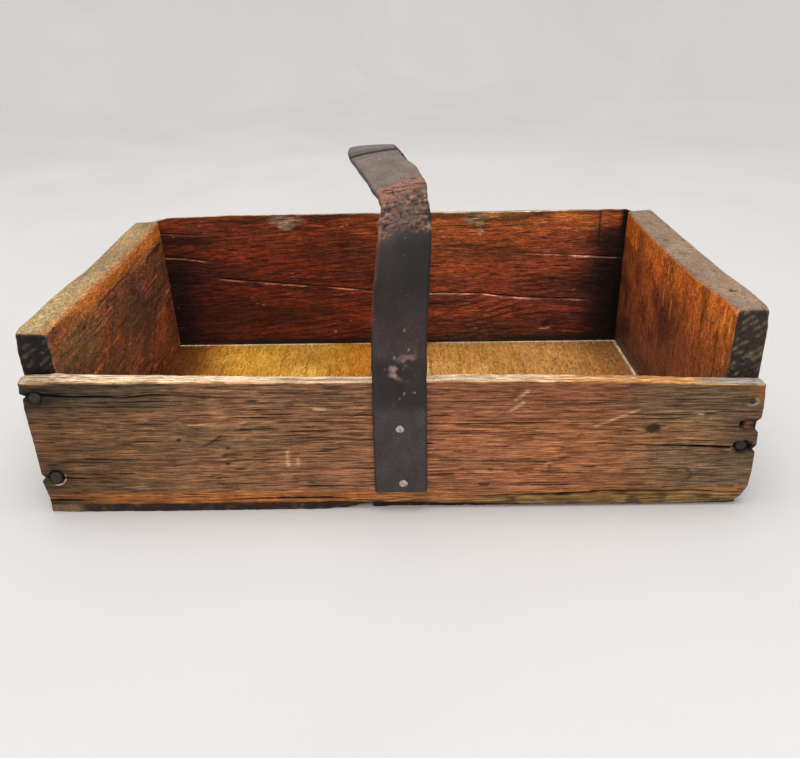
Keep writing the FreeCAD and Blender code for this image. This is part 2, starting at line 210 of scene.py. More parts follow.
class Board:
    """The surface of a board while it is shaped. Its axes are along the grain, across it and
    through its thickness."""

    def __init__(self, node, order, steps, cracks=(), marks=(), thickness=None):
        low, high = extent(node)
        self.node, self.order, self.cracks = node, list(order), sorted(cracks, key=lambda c: c.middle)
        self.low, self.high = low[self.order], high[self.order]
        if thickness:
            self.low[2] = self.high[2] - thickness
        near = [c.middle + side * d for c in self.cracks for d in CRACK_LINES for side in (-1, 1)]
        wanted = (marks, near, ())
        self.lines = [lattice_lines(*args) for args in zip(self.low, self.high, steps, wanted)]
        self.place, self.quads = shell(self.lines)
        self.p = np.column_stack([line[self.place[:, i]] for i, line in enumerate(self.lines)])
        self.nominal = self.p.copy()
        self.dark = np.zeros(len(self.p))

    def side(self, axis, high):
        """1 on one of the six sides, edges included, and 0 elsewhere."""
        return (self.place[:, axis] == (len(self.lines[axis]) - 1 if high else 0)).astype(float)

    def round_edges(self, radius):
        radius = np.broadcast_to(radius, len(self.p))[:, None]
        inner = np.clip(self.p, self.low + radius, self.high - radius)
        out = self.p - inner
        self.n = out / np.linalg.norm(out, axis=1)[:, None]
        self.p = inner + self.n * radius

    def follow(self, bottom, top):
        """Bends the lattice so that its lines follow the edges and the cracks."""
        knots = [self.low[1], *(c.middle for c in self.cracks), self.high[1]]
        a = self.p[:, 0]
        share = (self.p[:, 2] - self.low[2]) / (self.high[2] - self.low[2])
        edges = [along(a, c[0]) * (1 - share) + along(a, c[1]) * share for c in (bottom, top)]
        targets = np.column_stack([edges[0], *(along(a, c.path) for c in self.cracks), edges[1]])
        self.p[:, 1] = stretched(self.p[:, 1], knots, targets)

    def ends(self, left, right, reach=30.0):
        """Moves the two ends of the board to their outlines."""
        b = self.p[:, 1]
        knots = [self.low[0], self.low[0] + reach, self.high[0] - reach, self.high[0]]
        fixed = np.ones(len(b))
        targets = np.column_stack([along(b, left), fixed * knots[1], fixed * knots[2], along(b, right)])
        self.p[:, 0] = stretched(self.p[:, 0], knots, targets)

    def push(self, depth, mask, high=False):
        """Presses the low or the high wide face in by depth where the mask is 1."""
        face = self.side(2, high)
        self.p[:, 2] += (-1 if high else 1) * depth * mask * face

    def open_cracks(self):
        for crack in self.cracks:
            face = self.side(2, False)
            width = along(self.p[:, 0], crack.width) * (1 + 0.35 * noise(self.p, (5, 400, 400), 31))
            half = np.maximum(width, 0) / 2
            off = np.abs(self.p[:, 1] - along(self.p[:, 0], crack.path))
            cut = np.clip(1 - off / np.maximum(half, 0.05), 0, 1) * np.minimum(half / 0.4, 1) * face
            self.p[:, 2] += crack.depth * cut
            self.dark = np.maximum(self.dark, np.minimum(1.7 * cut, 1))

    def checks(self, runs, high=False):
        """Fine grooves on single lattice lines: start, end, height and depth."""
        face = self.side(2, high) > 0
        for start, end, height, depth in runs:
            line = np.abs(self.lines[1] - height).argmin()
            here = np.flatnonzero(face & (self.place[:, 1] == line))
            a = self.nominal[here, 0]
            fade = max((end - start) * 0.25, 1.0)
            cut = ramp(a, start, start + fade) * ramp(a, end, end - fade)
            self.p[here, 2] += (-1 if high else 1) * depth * cut
            self.dark[here] = np.maximum(self.dark[here], cut * min(1, depth / 0.45))

    def grain(self, height, size=(45, 1.3, 1.3), seed=0):
        """Fibres raised and sunk along the grain, on every side."""
        self.p += self.n * (height * rough(self.nominal, size, seed))[:, None]

    def piece(self, colours, material, lean=0.0, turned=None):
        if lean:
            self.p[:, 2] -= lean * (self.p[:, 1] - self.low[1])
        points = np.empty_like(self.p)
        points[:, self.order] = self.p
        corners = points[self.quads]
        volume = np.einsum("ij,ij->", corners[:, 0], np.cross(corners[:, 1], corners[:, 2]))
        quads = self.quads if volume > 0 else self.quads[:, ::-1]
        made = make_mesh(self.node + "_wood", points, quads.tolist(), colours, self.dark, material, (),
            turned)
        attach(made, "root")
        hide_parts(self.node)
        return made


def random_checks(seed, count, low, high, length, depth):
    """Fine grooves scattered over a face."""
    draw = np.random.default_rng(seed)
    runs = []
    for _ in range(count):
        start = draw.uniform(low[0], high[0])
        run = draw.uniform(*length)
        runs.append((start, min(start + run, high[0]), draw.uniform(low[1], high[1]), draw.uniform(*depth)))
    return runs


# ---- materials ----


class Nodes:
    """Short names for building a node material."""

    def __init__(self, name):
        self.material = bpy.data.materials.new(name)
        self.material.use_nodes = True
        self.tree = self.material.node_tree
        self.shader = self.tree.nodes["Principled BSDF"]

    def add(self, kind, settings=(), **inputs):
        node = self.tree.nodes.new(kind)
        for key, value in dict(settings).items():
            setattr(node, key, value)
        for key, value in inputs.items():
            self.put(node.inputs[key.replace("_", " ")], value)
        return node

    def put(self, socket, value):
        if isinstance(value, bpy.types.NodeSocket):
            self.tree.links.new(value, socket)
        else:
            socket.default_value = value

    def attribute(self, name, output):
        return self.add("ShaderNodeAttribute", {"attribute_name": name}).outputs[output]

    def place(self, scale):
        where = self.add("ShaderNodeTexCoord").outputs["Object"]
        return self.add("ShaderNodeMapping", Vector=where, Scale=scale).outputs["Vector"]

    def noise(self, scale, detail=3.0, roughness=0.6, distortion=0.0, turned=None):
        """Noise in cells per metre along x, y and z, or in the turned cells where the mesh says so."""
        where = self.place(scale)
        if turned:
            where = self.mix("MIX", self.attribute("turned", "Fac"), where, self.place(turned))
        node = self.add("ShaderNodeTexNoise", Vector=where, Scale=1.0, Detail=detail)
        node.inputs["Roughness"].default_value = roughness
        node.inputs["Distortion"].default_value = distortion
        return node.outputs["Fac"]

    def range(self, value, low, high, to_low=0.0, to_high=1.0):
        node = self.add("ShaderNodeMapRange", Value=value)
        for key, number in zip(("From Min", "From Max", "To Min", "To Max"), (low, high, to_low, to_high)):
            node.inputs[key].default_value = number
        return node.outputs["Result"]

    def math(self, operation, a, b):
        node = self.add("ShaderNodeMath", {"operation": operation})
        self.put(node.inputs[0], a)
        self.put(node.inputs[1], b)
        return node.outputs[0]

    def mix(self, blend, factor, a, b):
        node = self.add("ShaderNodeMix", {"data_type": "RGBA", "blend_type": blend})
        self.put(node.inputs[0], factor)
        self.put(node.inputs[6], a)
        self.put(node.inputs[7], b)
        return node.outputs[2]

    def grey(self, value):
        return self.add("ShaderNodeCombineColor", Red=value, Green=value, Blue=value).outputs["Color"]

    def finish(self, colour, roughness, height, strength, distance):
        self.put(self.shader.inputs["Base Color"], colour)
        self.put(self.shader.inputs["Roughness"], roughness)
        bump = self.add("ShaderNodeBump", Height=height, Strength=strength, Distance=distance)
        self.put(self.shader.inputs["Normal"], bump.outputs["Normal"])
        return self.material


def wood(name, grain, fibre, line, contrast, grit, gloss, specular=0.2, waves=0.15, turned=None):
    """Painted tone with fibres, thin lines, pores and grit over it. grain is the axis that they
    run along; fibre and line are cells per metre along it and across it."""
    n = Nodes(name)

    def along_axis(chosen, cells):
        return [cells[0] if axis == chosen else cells[1] for axis in range(3)]

    def streaks(cells, detail, roughness):
        other = None if turned is None else along_axis(turned, cells)
        return n.noise(along_axis(grain, cells), detail, roughness, waves, other)

    broad, fine = streaks(fibre, 5.0, 0.75), streaks(line, 3.0, 0.6)
    pore = n.range(streaks((line[0] * 1.5, line[1] * 0.7), 2.0, 0.5), 0.6, 0.68)
    speck = n.range(n.noise((420, 420, 420), 3.0, 0.7), 0.64, 0.72)
    patch = n.noise((16, 16, 16), 4.0, 0.65)
    sand = n.noise((1100, 1100, 1100), 3.0, 0.7)
    colour = n.attribute("tone", "Color")
    colour = n.mix("MULTIPLY", 1.0, colour, n.grey(n.range(broad, 0.34, 0.66, 1 - contrast, 1 + contrast)))
    colour = n.mix("MULTIPLY", 1.0, colour, n.grey(n.range(fine, 0.36, 0.64, 1 - contrast, 1 + contrast)))
    colour = n.mix("MULTIPLY", 1.0, colour, n.grey(n.range(patch, 0.35, 0.65, 0.78, 1.2)))
    colour = n.mix("MULTIPLY", 1.0, colour, n.grey(n.range(sand, 0.34, 0.66, 1 - grit, 1 + grit)))
    colour = n.mix("MULTIPLY", n.math("MULTIPLY", pore, 0.8), colour, (0.34, 0.29, 0.26, 1))
    colour = n.mix("MULTIPLY", n.math("MULTIPLY", speck, 0.7), colour, (0.4, 0.35, 0.32, 1))
    crack = n.attribute("dark", "Fac")
    colour = n.mix("MIX", n.range(crack, 0.15, 0.75), colour, (0.008, 0.006, 0.005, 1))
    n.shader.inputs["Specular IOR Level"].default_value = specular
    roughness = n.range(n.math("ADD", broad, crack), 0.3, 1.2, gloss - 0.12, gloss + 0.3)
    height = n.math("SUBTRACT", n.math("ADD", broad, fine), pore)
    return n.finish(colour, roughness, height, 0.6, 0.0005)


X, Y, Z = range(3)
front_wood = wood("front_wood", X, (45, 800), (75, 1600), 0.56, 0.16, 0.68)
back_wood = wood("back_wood", X, (60, 420), (110, 1300), 0.62, 0.36, 0.42, 0.3, 1.2)
left_wood = wood("left_wood", Y, (170, 420), (360, 1100), 0.5, 0.2, 0.5, 0.25, 1.0)
right_wood = wood("right_wood", Z, (190, 340), (420, 1000), 0.5, 0.3, 0.42, 0.3, 1.0, Y)
floor_wood = wood("floor_wood", Y, (60, 420), (170, 1200), 0.26, 0.3, 0.42, 0.3, 0.3)


# ---- front board ----

AROUND = (-6.2, -5.0, -4.2, -3.6, -2.6, -1.3, 0, 1.3, 2.6, 3.6, 4.2, 5.0, 6.2)


def marks_near(*places):
    return [x + d for x in places for d in AROUND]


def front_board():
    upper_nail, lower_nail = (-202.6, 76.9), (-199.5, 24.9)
    small_nail, lost_nail, sunk_nail = (205.8, 69.9), (206.5, 54.0), (205.4, 39.4)
    cracks = [
        Crack(
            [(-210, 8.8), (-190, 8.6), (-150, 7.8), (-93, 7.6), (-76, 8.4), (-30, 8.2), (30, 8.4), (60, 8.7),
             (100, 8.8), (132, 10.9), (165, 10.0), (179, 10.8), (207, 8.8)],
            [(-212, 1.8), (-190, 1.3), (-180, 0), (-112, 0), (-90, 0.9), (-60, 1.6), (-38, 1.4), (-22, 0),
             (48, 0), (62, 1.3), (100, 2.3), (140, 2.2), (168, 1.7), (184, 0.6), (207, 0.4)],
            4.0,
        ),
        Crack(
            [(-207, 25.2), (-195, 23.9), (-180, 23.4), (-165, 22.8), (-140, 22.4)],
            [(-212, 1.6), (-200, 1.4), (-188, 1.1), (-170, 0.6), (-158, 0)],
        ),
        Crack(
            [(115, 43.4), (131, 43.0), (179, 40.8), (199, 39.6), (213, 38.4)],
            [(108, 0), (122, 0.6), (150, 1.1), (180, 1.7), (198, 2.3), (215, 2.6)],
            3.5,
        ),
        Crack(
            [(-195, 71.5), (-184, 71.2), (-160, 71.0), (-131, 70.5)],
            [(-197, 0), (-190, 0.6), (-180, 0.3), (-165, 0.5), (-134, 0.4), (-126, 0)],
            1.2,
        ),
        Crack(
            [(-208, 78.6), (-198, 79.0), (-184, 77.8), (-164, 77.6), (-152, 76.8), (-135, 78.4), (-109, 76.5),
             (-82, 75.9), (-50, 73.5), (20, 71.8), (64, 71.8), (128, 71.4)],
            [(-214, 2.6), (-196, 2.2), (-180, 1.5), (-150, 1.2), (-110, 0.8), (-86, 0.6), (-74, 0), (16, 0),
             (24, 0.6), (90, 0.55), (125, 0.4), (136, 0)],
            3.0,
        ),
    ]
    nails = marks_near(upper_nail[0], lower_nail[0], 151.4, lost_nail[0], -96.6)
    b = Board("front_board", (0, 2, 1), (1.95, 0.7, 2.4), cracks, nails)
    worn = 1.0 + 1.5 * ramp(b.p[:, 0], 0, -200) + 0.4 * noise(b.p, (14, 300, 300), 3)
    at_top = ramp(b.p[:, 1], b.high[1] - 12, b.high[1] - 5)
    b.round_edges(0.5 + (worn - 0.3) * at_top + 0.3 * ramp(b.p[:, 0], 190, 212))
    b.follow(
        bottom=(
            [(-210, 5.4), (-120, 5.2), (-30, 5.6), (0, 4.8), (30, 3.8), (70, 2.4), (100, 1.8),
            (160, 1.8), (213, 2.8)],
            [(-210, 5.5), (213, 5.5)],
        ),
        top=(
            [(-211, 86.4), (-189, 87.2), (-120, 86.3), (-60, 85.2), (-15, 84.7), (25, 85.2), (80, 84.4),
             (137, 83.2), (180, 81.4), (214, 80.6)],
            [(-211, 88.4), (-189, 88.7), (-120, 86.4), (-60, 84.8), (-15, 83.9), (25, 85.0), (80, 84.2),
             (137, 82.9), (180, 81.0), (214, 80.4)],
        ),
    )
    b.ends(
        left=[(5, -206.2), (11, -206.4), (22, -208.6), (24.5, -205.8), (26.5, -208.2), (46, -208.6),
        (70, -209.6),
              (76.5, -209.2), (78.3, -206.8), (80, -210.6), (87, -211.4)],
        right=[(4, 205.5), (6.4, 209.1), (12.9, 212.5), (24.4, 213.3), (36.5, 212.8), (38.6, 210.6),
        (41, 213.1),
               (49.8, 212.6), (51, 210.4), (57, 210.6), (58.8, 213.0), (65, 213.2), (81, 212.2)],
    )
    chip = 0.5 * rough(b.p, (9, 400, 400), 8) + 0.25 * noise(b.p, (2.6, 400, 400), 9)
    b.p[:, 1] += chip * ramp(b.nominal[:, 1], b.high[1] - 3, b.high[1])
    b.grain(0.16, (50, 1.2, 1.2), 12)
    b.p[:, 2] += 0.35 * rough(b.nominal, (90, 14, 400), 14)

    xz = b.p[:, :2].copy()
    b.push(1.7, spot(xz, upper_nail, (5.0, 4.7), 0.12))
    b.push(0.5, spot(xz, lower_nail, (5.2, 5.0), 0.25))
    b.push(0.7, spot(xz, small_nail, (2.6, 2.3), 0.3))
    ragged = xz + 0.5 * np.column_stack([noise(b.p, (2, 2, 2), 4), noise(b.p, (2, 2, 2), 5)])
    b.push(3.6, spot(ragged, sunk_nail, (6.3, 4.6), 0.1))
    b.push(2.4, spot(ragged, lost_nail, (5.4, 3.4), 0.15))
    b.push(2.6, spot(ragged, (202.8, 54.2), (2.0, 2.6), 0.3))
    b.push(0.8, spot(ragged, (151.4, 52.8), (4.2, 2.9), 0.3))
    ring = np.hypot(xz[:, 0] - 172.0, xz[:, 1] - 21.5)
    crescent = ramp(np.abs(ring - 4.6), 1.3, 0.3) * ramp(xz[:, 0], 171.5, 173.5)
    b.push(0.7, crescent)
    nicks = [(-96.3, 43.1, 1.7, 0.9), (-97.2, 38.3, 2.0, 1.1), (-97.0, 32.7, 1.8, 0.9),
        (-123.6, 48.9, 1.2, 0.9),
             (-79.5, 73.2, 3.2, 1.2), (-62.8, 38.6, 1.8, 0.7), (-56.3, 38.5, 1.8, 0.6),
             (54.6, 16.4, 4.6, 1.1)]
    pitted = sum(spot(xz, (x, z), (wide, tall), 0.35) for x, z, wide, tall in nicks)
    b.push(1.0, pitted)
    b.open_cracks()
    b.checks([(-116, -102, 64.8, 0.5), (-98, -66, 62.6, 0.6), (-78, -53, 65.2, 0.5), (-70, -50, 59.4, 0.4),
              (-94, -62, 54.6, 0.6), (-66, -30, 52.4, 0.5), (20, 37, 62.8, 0.5), (24, 100, 56.8, 0.5),
              (36, 60, 49.9, 0.4), (157, 180, 12.6, 0.5), (130, 180, 62.2, 0.35), (-60, -22, 47.5, 0.4)])
    b.checks(random_checks(3, 150, (-205, 12), (205, 82), (14, 46), (0.1, 0.4)))
    b.checks(random_checks(9, 300, (-206, 11), (206, 83), (4, 14), (0.08, 0.3)))
    b.checks(random_checks(4, 40, (-205, 10), (205, 82), (20, 90), (0.15, 0.4)), high=True)

    face, inner = b.side(2, False), b.side(2, True)
    x, z = xz.T
    wide = rough(b.nominal, (110, 9, 60), 21)
    streak = rough(b.nominal, (55, 2.2, 20), 22)
    c = np.tile(shade(134, 97, 70), (len(x), 1))
    c = tint(c, (150, 95, 66), ramp(x, -10, 40) * ramp(x, 160, 110) * 0.9)
    c = tint(c, (120, 99, 74), ramp(x, 120, 175) * 0.8)
    c = tint(c, (146, 104, 76), ramp(x, -110, -30) * ramp(x, 20, -10) * 0.5 * ramp(z, 55, 30))
    c = tint(c, (104, 88, 66), ramp(wide, 0.05, 0.6) * 0.7)
    c = tint(c, (164, 110, 72), ramp(wide, -0.1, -0.6) * 0.6)
    c = tint(c, (78, 70, 60), ramp(x, -95, -150) * ramp(z, 64, 73) * (0.75 + 0.5 * wide))
    c = tint(c, (170, 104, 52), ramp(z, 15, 11) * ramp(x, 20, -20) * 0.85)
    c = tint(c, (160, 104, 56), ramp(z, 15, 10) * ramp(x, -30, 10) * 0.7)
    c = tint(c, (136, 108, 70), ramp(z, 9.6, 8.0) * ramp(x, 45, 62) * 0.9)
    c = tint(c, (84, 72, 56), ramp(z, 8.7, 8.0) * ramp(x, -178, -190))
    c = tint(c, (46, 39, 34), ramp(streak, 0.25, 0.7) * 0.5)
    c = tint(c, (186, 136, 100), ramp(streak, -0.35, -0.8) * 0.5)
    for nail, reach, amount in ((upper_nail, (13, 7), 0.85), (lower_nail, (11, 8), 0.7),
        (sunk_nail, (13, 8), 0.6),
                                (lost_nail, (12, 6), 0.5)):
        c = tint(c, (52, 46, 41), spot(xz, nail, reach, 0.7) * amount)
    c = tint(c, (30, 26, 24), spot(ragged, (151.4, 52.8), (4.6, 3.0), 0.3) * 0.9)
    dent = np.hypot(x - 92.7, z - 27.6)
    c = tint(c, (70, 46, 34), ramp(dent, 2.6, 1.2) * 0.6)
    c = tint(c, (206, 156, 116), ramp(np.abs(dent - 3.0), 1.0, 0.3) * ramp(x, 94.5, 91.5) * 0.8)
    c = tint(c, (60, 50, 42), np.maximum(crescent, np.clip(pitted, 0, 1)) * 0.9)
    c = tint(c, (120, 70, 42), spot(xz, (208.5, 54.0), (3.4, 2.4), 0.4) * 0.8)
    c = tint(c, (178, 112, 56), spot(xz, (209, 76), (5, 5), 0.6) * 0.7)
    c = tint(c, (120, 62, 34), inner * 0.6)
    b.dark = np.maximum(b.dark, face * spot(ragged, sunk_nail, (5.9, 4.2), 0.12) * 0.6)
    b.dark = np.maximum(b.dark, face * spot(xz, (202.8, 54.2), (2.2, 2.6), 0.3) * 0.8)
    # Upward faces of the top edge painted pale: worn wood, with a painted highlight from the light above.
    up = ramp(b.n[:, 1], 0.3, 0.75) * ramp(z, 70, 78)
    pale = 0.5 + 0.5 * rough(b.nominal, (30, 1.5, 1.5), 24)
    c = tint(c, (214, 178, 138), up)
    c = tint(c, (240, 214, 184), up * pale * ramp(x, 190, 100))
    c = tint(c, (186, 162, 134), up * ramp(x, -176, -192) * 0.85)
    c = tint(c, (150, 138, 122), up * ramp(x, 150, 196) * 0.85)
    arris = ramp(b.n[:, 1], 0.15, 0.4) * ramp(b.n[:, 1], 0.9, 0.6) * ramp(z, 70, 78) * ramp(b.n[:, 2],
        0, -0.3)
    c = tint(c, (206, 142, 80), arris * 0.7)
    c = tint(c, (200, 190, 180), up * ramp(x, 176, 190) * pale)
    c = tint(c, (206, 140, 72), up * ramp(x, 60, 110) * ramp(x, 190, 160) * (1 - pale) * 1.4)
    top_line = ramp(np.abs(b.nominal[:, 2] + 126.2 + 0.6 * noise(b.nominal, (25, 99, 99), 6)), 1.1, 0.4)
    seam = up * top_line * ramp(x, -196, -160) * ramp(x, 5,
        -40) * ramp(noise(b.nominal, (18, 99, 99), 7), -0.4, 0.2)
    b.p[:, 1] -= 0.9 * seam
    b.dark = np.maximum(b.dark, seam * 0.7)
    end = ramp(np.abs(b.n[:, 0]), 0.4, 0.8)
    c = tint(c, (66, 54, 44), end * 0.8)
    for start, stop, width, colour in (
        ((68.2, 65.3), (75.4, 71.0), 1.3, (216, 178, 138)),
        ((70.8, 72.2), (77.9, 78.5), 1.2, (206, 166, 126)),
        ((118.0, 55.1), (141.6, 65.2), 1.1, (202, 160, 118)),
        ((-43.8, 68.1), (-37.0, 67.9), 1.1, (206, 168, 130)),
        ((176.5, 61.8), (180.0, 62.2), 1.0, (206, 168, 130)),
        ((-61.2, 41.0), (-61.4, 30.6), 1.2, (196, 158, 120)),
        ((-55.2, 36.0), (-55.4, 30.8), 1.1, (186, 148, 112)),
        ((-116.4, 59.0), (-88.0, 58.6), 0.9, (178, 132, 92)),
        ((-88.0, 58.6), (-83.6, 60.8), 0.9, (178, 132, 92)),
        ((-109.8, 44.3), (-99.0, 51.4), 1.0, (58, 44, 34)),
        ((-75, 79.4), (-30, 78.0), 0.9, (84, 62, 46)), ((28, 33.5), (92, 31.6), 0.9, (76, 56, 42)),
        ((-150, 33.0), (-84, 34.6), 0.9, (78, 58, 44)), ((88, 24.6), (150, 22.0), 0.9, (84, 60, 44)),
    ):
        c = tint(c, colour, face * stroke(xz, start, stop, width) * 0.85)
    rim = ramp(np.abs(np.hypot((x - small_nail[0]) / 1.25, z - small_nail[1]) - 2.7), 1.0, 0.3)
    c = tint(c, (196, 160, 124), face * rim * ramp(x - z, 134.5, 138.0) * 0.8)
    ring = ramp(np.abs(np.hypot(x - lower_nail[0], z - lower_nail[1]) - 4.3), 1.0, 0.4)
    b.dark = np.maximum(b.dark, face * ring * 0.75)
    strip = face * ramp(along(x, cracks[0].path) - 0.6 - z, 0, 0.6)
    c = tint(c, (134, 104, 64), strip * ramp(x, 52, 66) * (0.65 + 0.5 * noise(b.nominal, (7, 1.5, 9), 26)))
    c = tint(c, (62, 48, 32), strip * ramp(noise(b.nominal, (9, 1.2, 9), 27), 0.1, 0.5) * 0.8)
    # Painted light and shade, with tone corrections: gains across the front face, darker towards both ends
    # and in the band under the top edge.
    gains = [(-206, .66, .63, .53), (-150, .96, .92, .76), (-100, 1.2, 1.12, 1.0), (-20, 1.12, 1.04, .98),
             (60, 1.14, 1.08, 1.0), (120, 1.08, 1.0, .86), (195, .92, .9, .84)]
    c = np.where(face[:, None] > 0, balanced(c, x, gains) * (1 - 0.16 * ramp(z, 68, 74))[:, None], c)
    shine = ramp(np.abs(np.hypot(x - lower_nail[0], z - lower_nail[1]) - 5.0), 1.0, 0.3)
    c = tint(c, (214, 186, 150), face * shine * ramp(x - z, -222.5, -219.0) * 0.9)
    torn = ramp(np.abs(z - along(x, cracks[2].path) + 1.6), 1.3, 0.4) * ramp(x, 168, 190)
    c = tint(c, (192, 142, 96), face * torn * ramp(noise(b.nominal, (6, 3, 9), 25), -0.3, 0.4) * 0.8)
    return b.piece(c, front_wood)


# ---- back board ----


def back_board():
    cracks = [
        Crack([(-193, 85.6), (-175, 84.6), (-152, 81), (-120, 79)],
        [(-200, 0.9), (-170, 0.8), (-140, 0.4), (-110, 0)], 1.4),
        Crack(
            [(-153, 67), (-101, 62), (-47, 57.5), (-18, 54), (32, 51.4), (76, 50.5), (109, 46.5), (173, 44)],
            [(-160, 0), (-140, 1.0), (-90, 1.1), (-45, 0.8), (30, 0.6), (80, 0.9), (120, 1.0),
            (160, 0.8), (178, 0)],
            2.2,
        ),
        Crack([(95, 86.6), (115, 85.6), (187, 81.3)],
        [(92, 0), (112, 0.4), (150, 0.7), (175, 1.1), (196, 0.8)], 1.6),
        Crack([(-193, 106), (-181, 105), (-150, 103.5)],
        [(-200, 0.8), (-186, 0.8), (-165, 0.3), (-150, 0)], 1.2),
    ]
    b = Board("back_board", (0, 2, 1), (1.9, 0.75, 2.2), cracks)
    b.round_edges(0.6 + 0.7 * ramp(b.p[:, 1], 108, 114) * (1 + 0.6 * noise(b.p, (16, 200, 200), 41)))
    b.follow(
        bottom=([(-212, 5.5), (212, 5.5)], [(-212, 5.5), (212, 5.5)]),
        top=(
            [(-212, 112.0), (-204, 112.6), (-194, 116.0), (-186, 118.8), (-134, 120.2), (-10, 120.8),
            (31, 120.7),
             (88, 120.5), (150, 121.5), (162, 121.4), (168, 120.6), (174, 121.9), (192, 121.6), (200, 118.0),
             (212, 115.0)],
            [(-212, 111.0), (-196, 114.9), (-136, 117.8), (31, 118.4), (120, 119.0), (196, 118.6),
            (212, 115.0)],
        ),
    )
    b.ends(left=[(5.5, -207.1), (60, -209.6), (112, -211.8)], right=[(5.5, 211.9), (60, 211.7), (120, 211.9)])
    b.p[:, 1] += 0.35 * rough(b.p, (12, 400, 400), 42) * ramp(b.nominal[:, 1], b.high[1] - 3, b.high[1])
    b.grain(0.15, (40, 1.5, 1.5), 43)
    xz = b.p[:, :2].copy()
    tatter = xz + 1.2 * np.column_stack([noise(b.p, (4, 9, 2), 44), noise(b.p, (5, 9, 1.6), 45)])
    left_scar = np.maximum(spot(tatter, (-88, 116), (13, 4.5), 0.3),
        spot(tatter, (-88, 111.5), (7, 4.5), 0.4))
    right_scar = np.maximum(spot(tatter, (67, 116.5), (10, 4.5), 0.3),
        spot(tatter, (72.5, 110), (2.6, 8), 0.4))
    ridges = 0.6 + 0.6 * noise(b.nominal, (14, 1.5, 9), 46)
    b.push(1.9 * ridges, left_scar)
    b.push(1.7 * ridges, right_scar)
    slit = spot(xz, (73.2, 106.5), (0.9, 6.0), 0.5)
    b.push(1.2, slit)
    knot = spot(xz, (131, 21.4), (4.0, 2.6), 0.4)
    b.push(0.9, knot)
    b.open_cracks()
    b.checks(random_checks(13, 90, (-190, 8), (190, 116), (10, 40), (0.08, 0.3)))
    b.checks(random_checks(17, 420, (-190, 8), (190, 116), (4, 16), (0.1, 0.4)))
    b.checks(random_checks(14, 60, (-205, 8), (205, 112), (20, 80), (0.15, 0.5)), high=True)

    x, z = xz.T
    outer = b.side(2, True)
    wide = rough(b.nominal, (90, 11, 60), 51)
    streak = rough(b.nominal, (35, 2.4, 20), 52)
    c = np.tile(shade(92, 44, 29), (len(x), 1))
    c = tint(c, (132, 64, 34), ramp(z, 84, 106) * 0.8)
    c = tint(c, (158, 80, 38), ramp(z, 100, 114) * ramp(x, -20, 60) * 0.8)
    c = tint(c, (128, 62, 32), ramp(x, -30, 40) * ramp(x, 150, 60) * ramp(z, 50, 90) * 0.7)
    c = tint(c, (132, 60, 34), ramp(wide, 0.05, 0.45) * 0.8)
    c = tint(c, (54, 27, 21), ramp(wide, -0.05, -0.45) * 0.8)
    c = tint(c, (60, 34, 28), ramp(z, 24, 8) * 0.6)
    c = tint(c, (34, 20, 17), ramp(streak, 0.2, 0.7) * 0.6)
    c = tint(c, (150, 88, 52), ramp(streak, -0.4, -0.8) * 0.45)
    # Painted shade: the inside of the back board goes near black towards both corners, where the end boards
    # shade it.
    left_corner_shade = ramp(x, -158, -184) * ramp(z, 116, 60)
    right_corner_shade = ramp(x, 152, 182) * ramp(z, 122, 88)
    inside = b.side(2, False)
    c = tint(c, (24, 17, 15), inside * left_corner_shade * 0.9)
    c = tint(c, (22, 17, 16), inside * right_corner_shade * 0.92)
    c = tint(c, (112, 98, 84), (left_scar * 0.8 + right_scar * 0.7)
        * ramp(noise(b.nominal, (9, 1.4, 9), 47), -0.5, 0.4))
    c = tint(c, (40, 28, 24), (left_scar + right_scar)
        * ramp(noise(b.nominal, (8, 1.8, 9), 48), 0.1, 0.5) * 0.9)
    c = tint(c, (30, 22, 20), knot * 0.8)
    c = tint(c, (214, 196, 180), spot(xz, (73.0, 103.5), (0.8, 2.6), 0.5))
    c = tint(c, (170, 104, 56), ramp(z, 114, 117) * ramp(noise(b.nominal, (20, 9, 9), 49), -0.1, 0.6) * 0.7)
    c = tint(c, (122, 90, 64), outer)
    c = tint(c, (92, 78, 62), outer * ramp(wide, 0.0, 0.6) * 0.7)
    # Upward faces of the top edge painted pale: worn wood, with a painted highlight from the light above.
    up = ramp(b.n[:, 1], 0.3, 0.8) * ramp(z, 100, 108)
    c = tint(c, (92, 70, 52), ramp(np.abs(b.n[:, 0]), 0.4, 0.8))
    c = tint(c, (204, 172, 140), up)
    c = tint(c, (126, 100, 80), up * ramp(noise(b.nominal, (30, 2, 2), 50), 0.0, 0.6))
    b.dark = np.maximum(b.dark, inside * slit * ramp(z, 104, 108) * 0.8)
    for crack, strength in zip(b.cracks, (0.9, 0.75, 0.8, 0.5)):
        under = along(x, crack.path) - along(x, crack.width) / 2 - z
        open_here = ramp(along(x, crack.width), 0.3, 0.8)
        lip = ramp(np.abs(under - 0.7), 0.9, 0.3) * open_here * ramp(noise(b.nominal, (12, 9, 9), 56),
            -0.7, 0.1)
        c = tint(c, (206, 158, 132), inside * lip * strength)
    flame_path = z - 14 - 9 * np.cos((x - 140) / 34) - 3.0 * noise(b.nominal, (30, 30, 30), 57)
    flame = ramp(np.sin(flame_path * 1.25), 0.1, 0.9) * ramp(x, 30, 70) * ramp(z, 78, 60) * ramp(x, 196, 172)
    c = tint(c, (46, 24, 18), inside * flame * 0.85 * ramp(noise(b.nominal, (16, 9, 9), 60), -0.5, 0.2))
    whorl = z - 0.12 * x + 5 * noise(b.nominal, (55, 16, 30), 61)
    c = tint(c, (50, 26, 19), inside * ramp(np.sin(whorl * 1.5), 0.3, 1.0) * ramp(x, 60, 20) * 0.6)
    c = tint(c, (204, 150, 116), inside * spot(xz, (131, 17.6), (4.4, 1.1), 0.5) * 0.8)
    c = tint(c, (24, 16, 14), inside * stroke(xz, (170, 121), (171.5, 92), 1.6) * 0.85)
